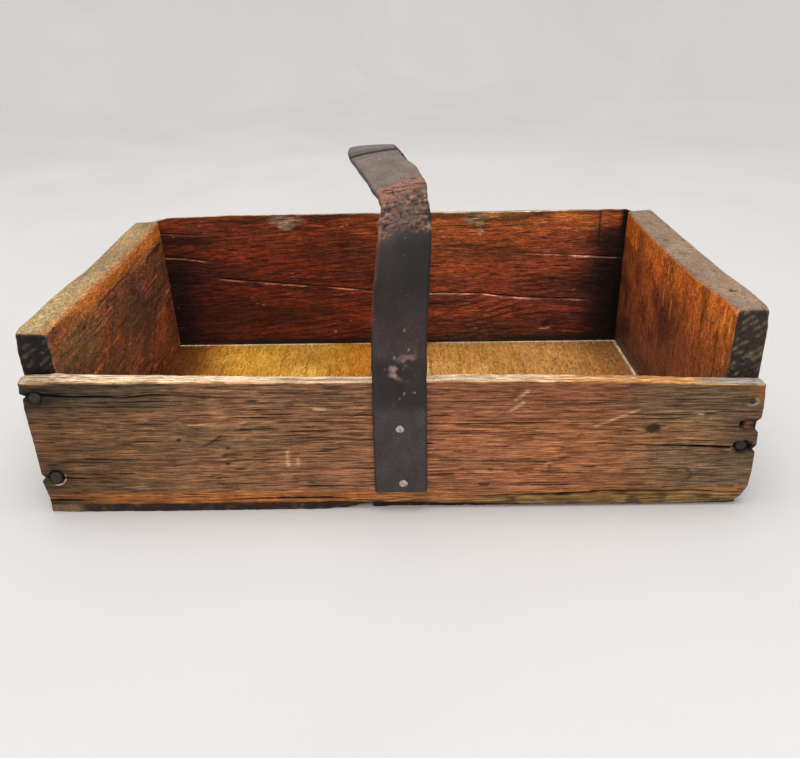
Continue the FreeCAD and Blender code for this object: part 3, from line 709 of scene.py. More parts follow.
    # Painted glints: small pale flecks on the inside face.
    flecks = ramp(noise(b.nominal, (3.2, 1.1, 9), 58), 0.72,
        0.86) * ramp(noise(b.nominal, (40, 22, 9), 59), 0.0, 0.4)
    c = tint(c, (222, 204, 190), inside * flecks * 0.7)
    # Painted light and shade, with tone corrections: the inside face brighter towards the right and darker
    # towards the bottom.
    gains = [(-190, 1.3, .92, .7), (-60, 1.45, 1.02, .76), (0, 1.7, 1.4, 1.05), (40, 2.4, 2.5, 1.9),
             (120, 2.2, 2.3, 2.0), (165, 2.0, 2.0, 1.9), (192, 1.5, 1.2, 1.3)]
    falling = [(6, .62, .62, .8), (40, .74, .74, .95), (75, .84, .84, .95), (100, 1.0, 1.08, 1.0),
        (120, 1.05, 1.2, 1.1)]
    c = np.where(inside[:, None] > 0, balanced(balanced(c, x, gains), z, falling), c)
    bare = ramp(noise(b.nominal, (7, 1.6, 9), 62), -0.5, 0.1)
    c = tint(c, (176, 150, 122), inside * (left_scar + 0.7 * right_scar) * bare * 0.8)
    # More painted shade in the right corner, nearly black.
    c = tint(c, (12, 9, 8), inside * right_corner_shade * 0.5)
    c = tint(c, (8, 6, 5), inside * ramp(x, 186.5, 189.5))
    c = tint(c, (14, 8, 6), inside * ramp(z, 12.5, 8.5)
        * ramp(noise(b.nominal, (40, 3, 9), 63), -0.9, 0.0) * 0.9)
    return b.piece(c, back_wood)


# ---- end boards ----


END_THICKNESS = 19.0


def end_board(node, inner_high, bottom, top, seed):
    """inner_high says that the face inside the box is the one with the higher x."""
    b = Board(node, (1, 2, 0), (1.9, 0.9, 1.1), thickness=END_THICKNESS)
    worn = 1.1 + 0.6 * noise(b.p, (22, 200, 200), seed)
    at_top = ramp(b.p[:, 1], b.high[1] - 12, b.high[1] - 6)
    b.round_edges(0.8 + worn * at_top + ramp(b.p[:, 0], -112, -118) * (0.8 + 1.0 * at_top))
    b.follow(bottom, top)
    b.p[:, 1] += 0.35 * rough(b.p, (16, 400, 400), seed + 1) * ramp(b.nominal[:, 1], b.high[1] - 3, b.high[1])
    b.grain(0.13, (30, 1.6, 1.6), seed + 2)
    inner = b.side(2, inner_high)
    sawn = rough(b.nominal, (2.6, 30, 30), seed + 3)
    b.p[:, 2] += (1 if inner_high else -1) * 0.22 * sawn * inner
    ends = ramp(np.abs(b.n[:, 0]), 0.5, 0.9)
    slope = b.nominal[:, 1] - 0.8 * b.nominal[:, 2]
    rings = np.sin(slope * 1.3 + 5.0 * noise(b.nominal, (13, 13, 13), seed + 4))
    b.p += b.n * (ends * (0.3 * rings + 0.7 * rough(b.nominal, (4, 4, 4), seed + 5)))[:, None]
    b.checks(random_checks(seed, 50, (-118, 8), (118, 108), (10, 40), (0.05, 0.22)), high=inner_high)
    b.checks(random_checks(seed + 1, 50, (-118, 8), (118, 108), (12, 60), (0.15, 0.5)), high=not inner_high)
    return b, ends, rings


def left_end_board():
    lean = 0.044
    b, ends, rings = end_board(
        "left_end_board", True,
        ([(-125, 5.5), (125, 5.5)], [(-125, 5.5), (125, 5.5)]),
        (
            [(-121, 113.4), (-82, 113.8), (-39, 114.2), (-7, 113.0), (30, 113.8), (82, 115.2),
            (108, 115.8), (120, 115.4)],
            [(-121, 112.6), (-108, 113.2), (-70, 112.8), (-38, 113.1), (4, 111.8), (56, 112.4),
            (108, 115.0), (120, 116.4)],
        ),
        61,
    )
    y, z = b.p[:, 0], b.p[:, 1]
    x = b.nominal[:, 2]
    wide = rough(b.nominal, (26, 12, 60), 71)
    streak = rough(b.nominal, (10, 3.4, 20), 72)
    diagonal = noise(np.column_stack([y + z, y - z, x]), (40, 6, 60), 73)
    c = np.tile(shade(112, 66, 44), (len(y), 1))
    c = tint(c, (70, 48, 38), ramp(diagonal, 0.0, 0.55) * 0.75)
    c = tint(c, (142, 78, 44), ramp(wide, 0.1, 0.6) * 0.75)
    c = tint(c, (52, 40, 34), ramp(streak, 0.3, 0.7) * 0.6)
    c = tint(c, (190, 112, 48), ramp(z, 97, 108) * (0.75 + 0.5 * streak) * ramp(y, -118, -70))
    c = tint(c, (120, 60, 34), ramp(y, 60, 112) * ramp(z, 70, 30) * 0.6)
    tilted = np.column_stack([y, z - 0.02 * y, x])
    c = tint(c, (38, 27, 22), ramp(noise(tilted, (26, 2.2, 30), 76), 0.25, 0.6) * ramp(z, 112, 100) * 0.75)
    c = tint(c, (176, 104, 58), ramp(noise(tilted, (22, 1.8, 30), 77), 0.35, 0.7) * 0.6)
    pits = ramp(noise(b.nominal, (4.5, 2.2, 30), 78), 0.55, 0.75) * ramp(y, 40, -60)
    inside = b.side(2, True)
    b.dark = np.maximum(b.dark, inside * pits * 0.55)
    c = tint(c, (64, 52, 42), inside * spot(b.p, (30, 72), (30, 26), 0.7) * 0.6)
    c = tint(c, (104, 82, 50), inside * spot(b.p, (-82, 88), (34, 16), 0.7) * 0.6)
    c = tint(c, (132, 64, 34), inside * ramp(y, 20, 90) * ramp(z, 60, 30) * 0.5)
    dirt = ramp(rough(np.column_stack([y + 0.6 * z, z - 0.6 * y, x]), (46, 16, 60), 79), 0.0, 0.5)
    c = tint(c, (74, 60, 44), inside * dirt * ramp(z, 106, 92) * 0.55)
    # Painted light and shade, with tone corrections: the inside face brightened, most near the top.
    rising = [(6, 1.75, 1.7, 1.65), (70, 1.75, 1.75, 1.7), (100, 2.1, 2.2, 2.2), (112, 1.9, 1.9, 1.7)]
    c = np.where(inside[:, None] > 0, balanced(c, z, rising), c)
    outer = b.side(2, False)
    c = tint(c, (122, 90, 64), outer)
    c = tint(c, (88, 74, 60), outer * ramp(wide, 0.0, 0.5) * 0.8)
    # Upward faces painted pale: worn wood, with a painted highlight from the light above, a little darker
    # towards the back.
    up = ramp(b.n[:, 1], 0.35, 0.8) * ramp(z, 90, 100)
    c = tint(c, (184, 152, 108), up)
    c = tint(c, (136, 104, 74), up * ramp(rough(b.nominal, (40, 7, 7), 74), 0.0, 0.6) * 0.6)
    c = tint(c, (196, 128, 62), up * ramp(x, -196, -189) * 0.7)
    c = np.where(up[:, None] > 0, balanced(c, y, [(-70, 1.0, 1.04, .92), (20, .84, .8, .72)]), c)
    c = tint(c, (10, 8, 6), ends * 0.97)
    c = tint(c, (96, 80, 62), ends
        * ramp(rings + 1.4 * noise(b.nominal, (2.5, 2.5, 2.5), 75), 0.8, 1.8) * 0.7)
    return b.piece(c, left_wood, lean)


def right_end_board():
    b, ends, rings = end_board(
        "right_end_board", False,
        ([(-125, 5.5), (125, 5.5)], [(-125, 5.5), (125, 5.5)]),
        (
            [(-121, 121.9), (-84, 119.9), (-50, 117.6), (-20, 117.2), (6, 116.7), (42, 116.2),
            (80, 117.6), (120, 119.8)],
            [(-121, 122.2), (-86, 122.4), (-60, 121.4), (-20, 121.0), (42, 120.6), (105, 121.0),
            (120, 121.0)],
        ),
        81,
    )
    y, z = b.p[:, 0], b.p[:, 1]
    x = b.nominal[:, 2]
    wide = rough(b.nominal, (24, 16, 60), 91)
    streak = rough(b.nominal, (3.2, 18, 20), 92)
    c = np.tile(shade(158, 84, 40), (len(y), 1))
    c = tint(c, (184, 108, 44), ramp(z, 84, 108) * ramp(wide, -0.4, 0.3) * 0.8)
    c = tint(c, (92, 46, 30), ramp(wide, -0.1, 0.4) * 0.75)
    c = tint(c, (74, 40, 30), spot(b.p, (-8, 72), (26, 26), 0.7) * 0.6)
    c = tint(c, (74, 40, 26), ramp(streak, 0.15, 0.65) * 0.3)
    c = tint(c, (70, 36, 22), ramp(noise(b.nominal, (2.0, 3.4, 30), 98), 0.2, 0.7) * 0.5)
    c = tint(c, (196, 120, 66), ramp(streak, -0.3, -0.8) * 0.5)
    c = tint(c, (92, 56, 34), ramp(z, 44, 14) * 0.7)
    c = tint(c, (92, 58, 36), ramp(y, -96, -116) * ramp(z, 110, 80) * 0.6)
    c = tint(c, (60, 32, 22), ramp(noise(b.nominal, (1.9, 26, 30), 96), 0.2, 0.6) * ramp(z, 112, 96) * 0.7)
    c = tint(c, (214, 132, 62), ramp(noise(b.nominal, (1.7, 22, 30), 97), 0.4, 0.75) * ramp(z, 30, 70) * 0.6)
    c = tint(c, (36, 24, 18), spot(b.p, (-40, 8), (46, 8), 0.6) * b.side(2, False) * 0.8)
    # Painted light and shade, with tone corrections: the inside face darker at the bottom and brighter
    # towards the top.
    c = np.where(
        b.side(2, False)[:, None] > 0,
        balanced(c, z,
        [(6, .74, .98, 1.7), (40, .86, 1.02, 1.85), (70, 1.15, 1.25, 1.75), (100, 2.25, 2.2, 1.55)]),
        c,
    )
    hole = spot(np.column_stack([y, x]), (-86, 202.5), (2.4, 1.9), 0.4) * b.side(1, True)
    b.p[:, 1] -= 1.6 * hole
    b.dark = np.maximum(b.dark, hole)
    outer = b.side(2, True)
    c = tint(c, (124, 92, 66), outer)
    c = tint(c, (90, 76, 60), outer * ramp(wide, 0.0, 0.5) * 0.8)
    # Upward faces painted pale: worn wood, with a painted highlight from the light above.
    up = ramp(b.n[:, 1], 0.35, 0.8) * ramp(z, 90, 104)
    c = tint(c, (152, 122, 95), up)
    c = tint(c, (112, 94, 76), up * ramp(rough(b.nominal, (9, 5, 5), 94), 0.0, 0.5) * ramp(y, -60, 40))
    c = tint(c, (30, 25, 20), ends * 0.95)
    c = tint(c, (122, 102, 72), ends * ramp(rings + 2.2 * noise(b.nominal, (3, 3, 3), 95), 0.3, 2.2) * 0.75)
    return b.piece(c, right_wood, turned=outer)


# ---- bottom boards ----


def bottom_board(node, seed):
    """Its grain runs from front to back, so its front edge is end grain."""
    left = node.endswith("left")
    b = Board(node, (1, 0, 2), (2.2, 1.2, 0.9))
    b.round_edges(0.5 + 0.3 * noise(b.p, (9, 9, 9), seed))
    edges = [(-135, b.low[1]), (135, b.low[1])], [(-135, b.high[1]), (135, b.high[1])]
    b.follow((edges[0], edges[0]), (edges[1], edges[1]))
    front = ramp(b.nominal[:, 0], -121, b.low[0])
    x = b.p[:, 1].copy()
    b.grain(0.1, (30, 2, 2), seed + 1)
    torn = rough(b.nominal, (9, 5, 2.5), seed + 2)
    b.p[:, 0] += 0.7 * torn * front
    b.p[:, 0] += front * along(x,
        [(-207, 1.4), (-190, 0.3), (-120, 0), (-40, 0.4), (-13, 2.4), (-12, 0), (212, 0)])
    lift = along(x, [(-210, 0), (-42, 0), (-34, 0.7), (-26, 0.5), (-20, 2.4), (-13, 3.4), (-12, 0), (212, 0)])
    b.p[:, 2] += lift * front * (1 - b.side(2, True))
    b.p[:, 1] -= 4.5 * ramp(x, 200, 212) * ramp(b.nominal[:, 0], -100, -125)
    b.checks(random_checks(seed, 50, (-118, b.low[1] + 4), (118, b.high[1] - 4), (20, 90),
        (0.03, 0.12)), high=True)
    b.checks(random_checks(seed + 1, 50, (-128, b.low[1] + 4), (128, b.high[1] - 4), (20, 120), (0.15, 0.5)))

    y = b.p[:, 0]
    streak = rough(b.nominal, (70, 5, 9), seed + 3)
    blotch = rough(b.nominal, (30, 24, 9), seed + 4)
    c = np.tile(shade(196, 146, 60), (len(x), 1))
    c = tint(c, (214, 170, 84), ramp(blotch, 0.1, 0.6) * 0.7)
    c = tint(c, (168, 112, 46), ramp(streak, 0.1, 0.6) * 0.6)
    c = tint(c, (150, 98, 46), np.maximum(ramp(x, -140, -182), ramp(x, 150, 190) * 0.9))
    c = tint(c, (190, 134, 52), ramp(x, -60, -30) * ramp(x, -8, -20) * 0.6)
    c = tint(c, (120, 78, 38), ramp(x, -170, -188) * 0.8)
    c = tint(c, (182, 130, 66), ramp(x, 60, 150) * 0.6)
    # Painted light and shade, with tone corrections: the floor brighter in the middle and darker towards both
    # end boards.
    gains = [(-190, .58, .36, .3), (-165, .78, .55, .42), (-135, 1.4, 1.3, 1.0), (-70, 1.42, 1.36, 1.15),
             (-30, 1.42, 1.15, .75), (-13, 1.4, 1.15, .8), (-12, 1.4, 1.26, 1.9), (130, 1.32, 1.27, 1.75),
             (192, 1.0, .92, 1.0)]
    c = balanced(c, x, gains)
    stripe = ramp(np.sin(x * 0.9 + 2 * noise(b.nominal, (60, 9, 9), seed + 5)), 0.2, 0.9)
    c = tint(c, (150, 98, 44), stripe * ramp(x, 6, 14) * ramp(x, 40, 30) * 0.5)
    speckle = ramp(noise(b.nominal, (2.2, 1.8, 9), seed + 6), 0.3, 0.7)
    c = tint(c, (120, 74, 30), speckle * (0.35 + 0.3 * ramp(np.abs(x), 100, 180)))
    plank = ramp(rough(b.nominal, (60, 2.6, 9), seed + 9), 0.15, 0.6)
    c = tint(c, (132, 84, 34), plank * 0.5)
    c = tint(c, (108, 66, 28), ramp(x, -152, -184) * 0.5)
    # Painted highlight: a pale line along the joints with the back board and the right end board, broken in
    # places.
    joint_highlight = np.maximum(ramp(y, 116.4, 118.2), ramp(x, 190.4, 191.8) * ramp(x, 194.5, 193.5))
    gaps = ramp(noise(b.nominal, (22, 22, 9), seed + 7), -0.5, 0.1)
    c = tint(c, (255, 232, 196), joint_highlight * gaps)
    under = b.side(2, False)
    c = tint(c, (112, 92, 70), under)
    c = tint(c, (84, 72, 58), under * ramp(streak, 0.0, 0.5) * 0.8)
    edge = np.maximum(ramp(np.abs(b.n[:, 0]), 0.4, 0.8), ramp(np.abs(b.n[:, 1]), 0.4, 0.8))
    c = tint(c, (44, 24, 10) if left else (32, 20, 10), edge)
    c = tint(c, (112, 78, 42), edge * ramp(torn, 0.1, 0.6) * 0.75)
    c = tint(c, (22, 16, 12), edge * ramp(noise(b.nominal, (3, 2.4, 1.2), seed + 8), 0.2, 0.6) * 0.8)
    c = tint(c, (142, 110, 76), edge * ramp(x, -184, -192) * 0.8)
    return b.piece(c, floor_wood)


# ---- strap ----

STRAP_WIDTH, STRAP_THICKNESS = 30.8, 4.0
# Places round the strap's section on each flat face and on each rounded edge.
FLAT_PLACES, ROUND_PLACES = 33, 7
FRONT_TAB_LOW, BACK_TAB_LOW = 14.2, 50.0
# The strap's middle line between its roots: x, y, z, turn and tilt of its width in degrees.
STRAP_ROUTE = [
    (4.9, -132.5, 87.0, 0, 0), (5.0, -131.9, 103.0, 0, 0), (5.6, -128.8, 122.0, 2, 0),
    (7.2, -121.5, 143.0, 6, 0),
    (8.8, -110.5, 160.0, 12, 0), (8.9, -96.5, 171.8, 19, 2), (5.0, -75.5, 181.5, 22, 4),
    (-2.0, -51.5, 188.0, 17, 6),
    (-9.3, -26.5, 192.0, 10, 6), (-11.8, 0.0, 191.6, 2, 5), (-10.8, 30.0, 186.8, -5, 3),
    (-6.5, 61.5, 178.0, -9, 1),
    (-1.0, 90.0, 164.5, -8, 0), (3.0, 112.5, 149.5, -4, 0), (4.8, 126.8, 136.0, 0, 0),
    (5.2, 132.5, 124.0, 0, 0),
]


def smooth_curve(knots, values, first, last):
    """The smooth curve through the values, with given slopes at its two ends."""
    gaps = np.diff(knots)[:, None]
    rise = np.diff(values, axis=0) / gaps
    count = len(knots)
    system, right = np.zeros((count, count)), np.zeros((count, values.shape[1]))
    system[0, 0] = system[-1, -1] = 1
    right[0], right[-1] = first, last
    for i in range(1, count - 1):
        before, after = gaps[i - 1, 0], gaps[i, 0]
        system[i, i - 1:i + 2] = after, 2 * (before + after), before
        right[i] = 3 * (after * rise[i - 1] + before * rise[i])
    slopes = np.linalg.solve(system, right)

    def at(s):
        i = np.clip(np.searchsorted(knots, s, side="right") - 1, 0, count - 2)
        h = gaps[i]
        t = ((s - knots[i]) / h[:, 0])[:, None]
        return (
            values[i] * (1 + 2 * t) * (1 - t) ** 2 + values[i + 1] * t * t * (3 - 2 * t)
            + slopes[i] * h * t * (1 - t) ** 2 - slopes[i + 1] * h * t * t * (1 - t)
        )

    return at


def strap_curves():
    """Left and right edge of the strap against the length along it, from the front root."""
    route = np.array(STRAP_ROUTE, float)
    middle = route[:, :3]
    turn, tilt = np.radians(route[:, 3]), np.radians(route[:, 4])
    across = np.column_stack([np.cos(turn), np.sin(turn), np.tan(tilt)])
    across /= np.linalg.norm(across, axis=1)[:, None]
    knots = np.concatenate([[0], np.cumsum(np.linalg.norm(np.diff(middle, axis=0), axis=1))])
    edges = [
        smooth_curve(knots, middle + across * side * STRAP_WIDTH / 2, (0, 0, 1),
        (0, 0, -1)) for side in (-1, 1)
    ]
    return edges, knots[-1]


(left_edge, right_edge), FREE_LENGTH = strap_curves()
FRONT_ROOT_HEIGHT, BACK_ROOT_HEIGHT = 87.0, 124.0
FRONT_TAB = FRONT_ROOT_HEIGHT - FRONT_TAB_LOW
BACK_TAB = BACK_ROOT_HEIGHT - BACK_TAB_LOW


def strap_frame(s):
    """Middle, width and outward directions at lengths along the strap."""
    inside = np.clip(s, 0, FREE_LENGTH)
    left, right = left_edge(inside), right_edge(inside)
    step = 0.5
    ahead = np.clip(inside + step, 0, FREE_LENGTH)
    behind = np.clip(inside - step, 0, FREE_LENGTH)
    forward = (left_edge(ahead) + right_edge(ahead)) - (left_edge(behind) + right_edge(behind))
    forward /= np.linalg.norm(forward, axis=1)[:, None]
    width = right - left
    width /= np.linalg.norm(width, axis=1)[:, None]
    out = np.cross(width, forward)
    out /= np.linalg.norm(out, axis=1)[:, None]
    middle = (left + right) / 2
    middle[:, 2] -= np.abs(s - inside)
    return middle, width, out


def strap_ring():
    """Places round the strap's section: share of its width, share of its thickness."""
    half = STRAP_WIDTH / 2
    corner = 1.5
    ring = []
    flat = np.linspace(-(half - corner), half - corner, FLAT_PLACES)
    turn = np.linspace(0, math.pi, ROUND_PLACES + 2)
    ring += [(u, 1.0, 0.0) for u in flat]
    ring += [(half - corner, math.cos(t), math.sin(t)) for t in turn[1:-1]]
    ring += [(u, -1.0, 0.0) for u in flat[::-1]]
    ring += [(-(half - corner), -math.cos(t), -math.sin(t)) for t in turn[1:-1]]
    return np.array(ring), corner


def strap_length(name, start, end, step, material):
    """A length of the strap, closed at both ends."""
    stations = np.linspace(start, end, max(3, round((end - start) / step) + 1))
    ring, corner = strap_ring()
    count = len(ring)
    s = np.repeat(stations, count)
    u0, thick, bulge = np.tile(ring, (len(stations), 1)).T
    middle, width, out = strap_frame(s)
    u = u0 + bulge * corner
    sun = np.column_stack([u, s, thick * 2])
    zone_low = 84 - 4 * ramp(u, -4, -12) + 2.0 * noise(sun, (3, 300, 50), 115)
    zone_high = 122 + 0.3 * u + 2.0 * noise(sun, (4, 300, 50), 116)
    crack_zone = ramp(s, zone_low - 1.6, zone_low + 1.2) * ramp(s, zone_high + 3, zone_high - 3)
    edge = np.abs(bulge)
    nibble = rough(sun * [0, 1, 0], (7, 7, 7), 101) * 0.35 + crack_zone * rough(sun * [0, 1, 0],
        (4, 4, 4), 102) * 0.8
    left_side = u < 0
    nibble = nibble + np.where(left_side, 0.3 * noise(sun * [0, 1, 0], (30, 30, 30), 103), 0.3
        * noise(sun * [0, 1, 0], (34, 34, 34), 104))
    neck = ramp(s, 92, 104) * ramp(s, 124, 112)
    shoulder = ramp(s, 106, 122) * ramp(s, 156, 138)
    nibble += np.where(left_side, -2.4 * neck, 2.8 * shoulder)
    near_edge = ramp(np.abs(u), 9, 15)
    u = u + np.sign(u) * nibble * near_edge
    half = STRAP_THICKNESS / 2 * (1 - 0.1 * near_edge)
    height = thick * half
    face = (thick > 0.5).astype(float)
    cup = -0.35 * (np.abs(u) / 15) ** 2 * ramp(s, 10, 60) * ramp(s, 340, 300)
    wave = 0.25 * noise(sun * [1, 1, 0], (12, 26, 9), 105) * ramp(s, 0, 30) * ramp(s, 350, 320)
    flakes = noise(sun, (3.4, 1.9, 50), 106) + 0.9 * noise(sun, (1.7, 1.3, 50), 107)
    crazed = crack_zone * np.clip(flakes, -1, 0.6) * 0.6
    crease_at = 172.5 + 0.10 * u + 0.5 * noise(sun, (6, 90, 90), 108)
    crease = np.exp(-(((s - crease_at) / 1.7) ** 2))
    fold = np.exp(-(((s - crease_at - 5.0) / 1.1) ** 2))
    ridge = np.exp(-(((s - crease_at - 2.6) / 1.5) ** 2))
    pebble = 0.05 * rough(sun, (1.4, 1.4, 9), 109)
    scuff = ramp(rough(sun, (5, 3.5, 50), 110), 0.05, 0.4) * ramp(s, -2, 5) * ramp(s, 24,
        16) * ramp(np.abs(u - 2), 9, 4)
    relief = pebble + crazed - 1.2 * crease + 0.9 * ridge - 0.8 * fold - 0.25 * scuff
    height = height + np.where(face > 0, relief, 0.3 * crazed)
    points = middle + width * u[:, None] + out * (height + cup + wave)[:, None]
    tab = np.maximum(ramp(s, 6, -2), ramp(s, FREE_LENGTH - 6, FREE_LENGTH + 2))
    under = thick < -0.5
    points = np.where((under & (tab > 0.5))[:, None], middle + width * u[:, None] - out
        * (STRAP_THICKNESS / 2), points)

    c = np.tile(shade(70, 64, 66), (len(s), 1))
    mottle = rough(sun, (16, 22, 50), 111)
    c = tint(c, (86, 79, 80), ramp(mottle, 0.1, 0.7) * 0.6)
    c = tint(c, (38, 35, 36), ramp(s, -22, -14) * ramp(s, 18, 8) * (0.8 + 0.3 * mottle))
    c = tint(c, (56, 53, 54), ramp(s, 12, 24) * ramp(s, 80, 60) * 0.8)
    c = tint(c, (38, 36, 37), ramp(s, 40, 58) * ramp(s, 86, 70) * ramp(u, -8, 6) * 0.8)
    c = tint(c, (30, 28, 28), ramp(s, 62, 78) * ramp(s, 90, 84) * ramp(u, -9, -2) * 0.8)
    c = tint(c, (128, 92, 78), crack_zone * (0.75 + 0.4 * mottle))
    c = tint(c, (48, 33, 28), crack_zone * ramp(flakes, 0.0, -0.5) * 0.9)
    c = tint(c, (184, 154, 140), crack_zone * ramp(flakes, 0.4, 0.9) * 0.6)
    grey = ramp(noise(sun, (11, 9, 50), 117), 0.0, 0.5)
    c = tint(c, (104, 92, 84), crack_zone * grey * 0.6)
    # Painted sheen: the top of the handle, which faces the light above, painted paler grey.
    c = tint(c, (128, 120, 112), ramp(s, 112, 124) * ramp(s, 240, 200) * (0.75 + 0.3 * mottle))
    c = tint(c, (158, 116, 98), ramp(s, zone_high - 16, zone_high - 8)
        * ramp(s, zone_high + 2, zone_high - 1) * 0.8)
    c = tint(c, (90, 82, 78), ramp(s, 180, 230) * 0.7)
    c = tint(c, (60, 56, 56), ramp(s, 300, 330) * 0.8)
    # Painted shade: a dark line in the fold just behind the crease at the crest.
    c = tint(c, (44, 40, 38), ramp(s, 175.5, 177.0) * ramp(s, 181, 179) * 0.8)
    c = tint(c, (152, 132, 128), scuff * 0.75)
    c = tint(c, (134, 94, 80), np.where(left_side, edge, 0) * ramp(s, 26, 36) * ramp(s, 112, 92))
    cut_edge = left_side * ramp(u, -13.2, -14.6) * ramp(s, 50, 60) * ramp(s, 96, 88)
    c = tint(c, (150, 104, 92), cut_edge * 0.85)
    c = tint(c, (36, 32, 32), edge * (1 - ramp(s, 26, 36) * ramp(s, 112, 92)) * 0.7)
    c = tint(c, (98, 76, 62), (thick < -0.5) * 0.8)
    c = tint(c, (206, 184, 176), scuff * ramp(s, 0, 4) * ramp(s, 13, 9) * 0.8)
    dots = ramp(noise(sun, (1.3, 1.2, 50), 112), 0.86, 0.95) * ramp(noise(sun, (26, 40, 50), 114), 0.3, 0.5)
    c = tint(c, (176, 166, 160), dots * face * 0.7)
    c = balanced(c, s, [(-74, .86, .78, .74), (-15, .84, .76, .72), (30, .84, .58, .5), (50, .36, .25, .21),
                        (74, .34, .24, .2), (82, .85, .72, .62), (110, .9, .74, .64), (125, .95, .83, .79)])
    lines = crack_zone * ramp(np.abs(noise(sun, (7, 3.2, 50), 113)), 0.14, 0.03)
    # The dark attribute holds the cracks and the painted shade in the crease and fold at the crest.
    dark = np.clip((crease + fold * 0.9 + lines * 0.8) * face, 0, 1)

    rows = len(stations)
    index = np.arange(rows * count).reshape(rows, count)
    following = np.roll(index, -1, axis=1)
    faces = np.stack([index[:-1], following[:-1], following[1:], index[1:]], -1).reshape(-1, 4).tolist()
    flat, turned_from = FLAT_PLACES, FLAT_PLACES + ROUND_PLACES
    top = index[:, :flat]
    bottom = index[:, turned_from:turned_from + flat][:, ::-1]
    sharp = []
    for row, turned in ((0, False), (rows - 1, True)):
        cap = [[top[row, i], top[row, i + 1], bottom[row, i + 1], bottom[row, i]] for i in range(flat - 1)]
        cap += [[*index[row, flat - 1:turned_from + 1]],
            [*index[row, turned_from + flat - 1:], index[row, 0]]]
        cap = [[int(v) for v in (f if turned else f[::-1])] for f in cap]
        faces += cap
        loop = index[row]
        sharp += [(int(a), int(b)) for a, b in zip(loop, np.roll(loop, -1))]
    corners = points[np.array([f[:3] for f in faces])]
    volume = np.einsum("ij,ij->", corners[:, 0], np.cross(corners[:, 1], corners[:, 2]))
    if volume < 0:
        faces = [f[::-1] for f in faces]
    return make_mesh(name, points, faces, c, dark, material, sharp)


def leather():
    n = Nodes("leather")
    tone = n.attribute("tone", "Color")
    pebble = n.noise((900, 900, 900), 3.0)
    smear = n.noise((120, 120, 60), 4.0)
    speck = n.range(n.noise((380, 380, 380), 2.0, 0.4), 0.76, 0.82)
    colour = n.mix("MULTIPLY", 1.0, tone, n.grey(n.range(pebble, 0.3, 0.7, 0.66, 1.36)))
    colour = n.mix("MULTIPLY", 0.7, colour, n.grey(n.range(smear, 0.3, 0.7, 0.6, 1.4)))
    colour = n.mix("MIX", n.math("MULTIPLY", speck, 0.35), colour, (0.5, 0.46, 0.44, 1))
    # dark holds the cracks and the painted shade in the strap's crease and fold.
    crack = n.attribute("dark", "Fac")
    colour = n.mix("MIX", n.range(crack, 0.1, 0.8), colour, (0.012, 0.010, 0.010, 1))
    n.shader.inputs["Specular IOR Level"].default_value = 0.3
    roughness = n.range(n.math("ADD", smear, crack), 0.3, 1.0, 0.45, 0.75)
    return n.finish(colour, roughness, pebble, 0.35, 0.0002)


def build_strap():
    material = leather()
    seam_front, crest, half_seam = 36.0, 172.5, 0.35
    lower = strap_length("strap_lower", -FRONT_TAB, seam_front, 0.9, material)
    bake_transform(lower)
    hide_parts("strap_front_tab", "strap_front_leg")
    upper = strap_length("strap_upper", seam_front, crest, 0.8, material)
    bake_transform(upper)
    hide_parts("strap_grip")
    # The strap is parted at the back root, where the loop of bodies is open.
    rear = strap_length("strap_rear", crest, FREE_LENGTH - half_seam, 1.0, material)
    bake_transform(rear)
    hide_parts("strap_rear_leg")
    tab = strap_length("strap_rear_end", FREE_LENGTH + half_seam, FREE_LENGTH + BACK_TAB, 1.0, material)
    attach(tab, "root")
    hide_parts("strap_rear_tab")


# ---- nails and tacks ----

# How far the upper tack lies to the side of the lower one.
FRONT_TACKS_DRIFT, BACK_TACKS_DRIFT = -1.6, -1.0


def iron(name, colour, rust, metallic, roughness):
    n = Nodes(name)
    patch = n.noise((700, 700, 700), 4.0, 0.65)
    fine = n.noise((2600, 2600, 2600), 2.0)
    dirt = n.attribute("dark", "Fac")
    mixed = n.mix("MIX", n.range(patch, 0.42, 0.62), colour, rust)
    mixed = n.mix("MIX", n.range(dirt, 0.2, 1.0), mixed, (0.02, 0.016, 0.014, 1))
    n.shader.inputs["Metallic"].default_value = metallic
    return n.finish(mixed, n.range(patch, 0.3, 0.7, roughness, roughness + 0.25),
        n.math("ADD", patch, fine), 0.5, 0.0002)


